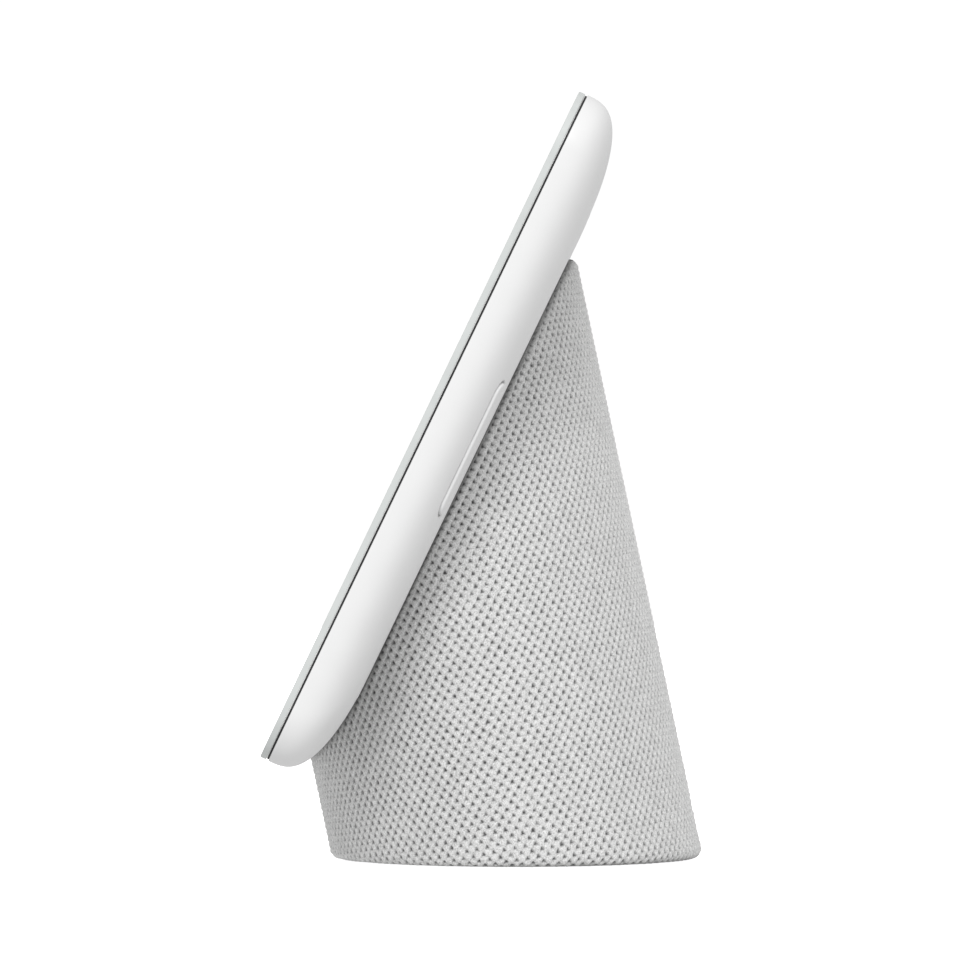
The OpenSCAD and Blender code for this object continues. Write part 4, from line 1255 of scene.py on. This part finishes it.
DRIVER_Z, SECTORS, SECTOR_STEPS = 0.0302, 12, 8
SPIDER_IN, SPIDER_OUT, SPIDER_Z, SPIDER_T = 0.0057, 0.014, 0.0114, 0.0003
SPIDER_ROLLS, SPIDER_ROLL_H, ROLL_POINTS, ARC_POINTS = 4, 0.00012, 12, 25
SURROUND_IN, SURROUND_OUT, SURROUND_Z, SURROUND_T = 0.01685, 0.0197, 0.0205, 0.00035


def on_driver(points):
    """From the driver's frame (z along its axis, towards the back) to the main one."""
    p = np.asarray(points, float)
    return on_base(np.stack([p[..., 0], p[..., 2], DRIVER_Z - p[..., 1]], -1))


def spider_section():
    """Radii and heights round the section of the corrugated spider."""
    share = np.linspace(0, 1, ROLL_POINTS * SPIDER_ROLLS + 1)
    r = SPIDER_IN + share * (SPIDER_OUT - SPIDER_IN)
    z = SPIDER_Z + SPIDER_ROLL_H * np.sin(2 * math.pi * SPIDER_ROLLS * share)
    return np.concatenate([np.stack([r, z], 1), np.stack([r, z + SPIDER_T], 1)[::-1]])


def surround_section():
    """Radii and heights round the section of the half-round surround."""
    a = np.linspace(0, math.pi, ARC_POINTS)
    arc = np.stack([np.cos(a), np.sin(a)], 1)
    middle = [(SURROUND_IN + SURROUND_OUT) / 2, SURROUND_Z]
    radius = (SURROUND_OUT - SURROUND_IN) / 2
    return np.concatenate([middle + radius * arc, middle + (radius - SURROUND_T) * arc[::-1]])


def make_suspension(name, section, slot, node):
    """A ring that carries the cone, in sectors. Each runs along its own radius, from the cone
    at its inner edge to the basket at its outer one."""
    r, z = section.T
    half = math.pi / SECTORS

    def place(radius, angle, height):
        x, y = np.multiply(radius, math.cos(angle)), np.multiply(radius, math.sin(angle))
        return np.column_stack(np.broadcast_arrays(x, y, height))

    for k in range(SECTORS):
        middle = 2 * half * k
        turn = np.linspace(middle - half, middle + half, SECTOR_STEPS + 1)
        mesh = lofted(f"{name}_{k}", [place(r, a, z) for a in turn])
        smooth(mesh)
        mesh.materials.append(LOOKS[slot])
        piece = new_object(mesh.name, moved(mesh, on_driver))
        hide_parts(node)
        start, end = on_driver(place([r.min(), r.max() * math.cos(half)], middle, z.min()))
        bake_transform(piece)


# ---- studio ----


FLOOR_R, FLOOR_DROP, FLOOR_GLOW = 3.2, 0.00005, 0.9
WORLD_SEEN, WORLD_LIGHT = 1.02, 0.72
KEY_PLACE, KEY_TARGET, KEY_SIZE, KEY_POWER = (1.9, 0.1, 1.16), (0, 0, 0.06), 0.5, 22
CAMERA_PLACE, CAMERA_LENS, CAMERA_FAR = (2.0, -0.00086, 0.05985), 474.3, 20


def make_world():
    """Even white light, and a brighter white where the camera sees past the floor."""
    world = bpy.data.worlds.new("studio")
    world.use_nodes = True
    nodes, links = world.node_tree.nodes, world.node_tree.links
    nodes.clear()
    either = nodes.new("ShaderNodeMixShader")
    links.new(nodes.new("ShaderNodeLightPath").outputs["Is Camera Ray"], either.inputs[0])
    for socket, strength in ((1, WORLD_LIGHT), (2, WORLD_SEEN)):
        white = nodes.new("ShaderNodeBackground")
        white.inputs["Color"].default_value = (1, 1, 1, 1)
        white.inputs["Strength"].default_value = strength
        links.new(white.outputs[0], either.inputs[socket])
    links.new(either.outputs[0], nodes.new("ShaderNodeOutputWorld").inputs["Surface"])
    return world


def make_floor():
    outline = circle(FLOOR_R, 96)
    floor = new_object("floor", new_mesh("floor", at_height(outline, -FLOOR_DROP), [range(96)]))
    look = Look("floor", (0.93, 0.93, 0.93), 0.9)
    look.mottle(0.004, 0.05)
    look.set("Emission Color", (1, 1, 1, 1))
    look.set("Emission Strength", FLOOR_GLOW)
    floor.data.materials.append(look.material)
    floor.visible_diffuse = False
    floor.visible_glossy = False


def make_studio():
    """White world and floor, one soft key light, and the camera at the right-hand side."""
    scene = bpy.context.scene
    scene.view_settings.view_transform = "Standard"
    scene.world = make_world()
    make_floor()

    light = bpy.data.lights.new("key", "AREA")
    light.shape = "DISK"
    light.size = KEY_SIZE
    light.energy = KEY_POWER
    key = new_object("key", light)
    key.location = KEY_PLACE
    way = Vector(KEY_TARGET) - Vector(KEY_PLACE)
    key.rotation_euler = way.to_track_quat("-Z", "Y").to_euler()

    camera = bpy.data.cameras.new("camera")
    camera.lens = CAMERA_LENS
    camera.clip_end = CAMERA_FAR
    scene.camera = new_object("camera", camera)
    scene.camera.location = CAMERA_PLACE
    scene.camera.rotation_euler = (math.pi / 2, 0, math.pi / 2)


finish_nodes()
make_rear_shell()
make_volume_rocker()
make_switch_knob()
make_glass()
make_adhesive()
make_border_ink()
make_gasket()
make_fabric()
make_foot()
make_bezel()
make_suspension("spider_sector", spider_section(), "resin_cloth", "speaker_spider")
make_suspension("surround_sector", surround_section(), "black_rubber", "speaker_surround")
make_studio()
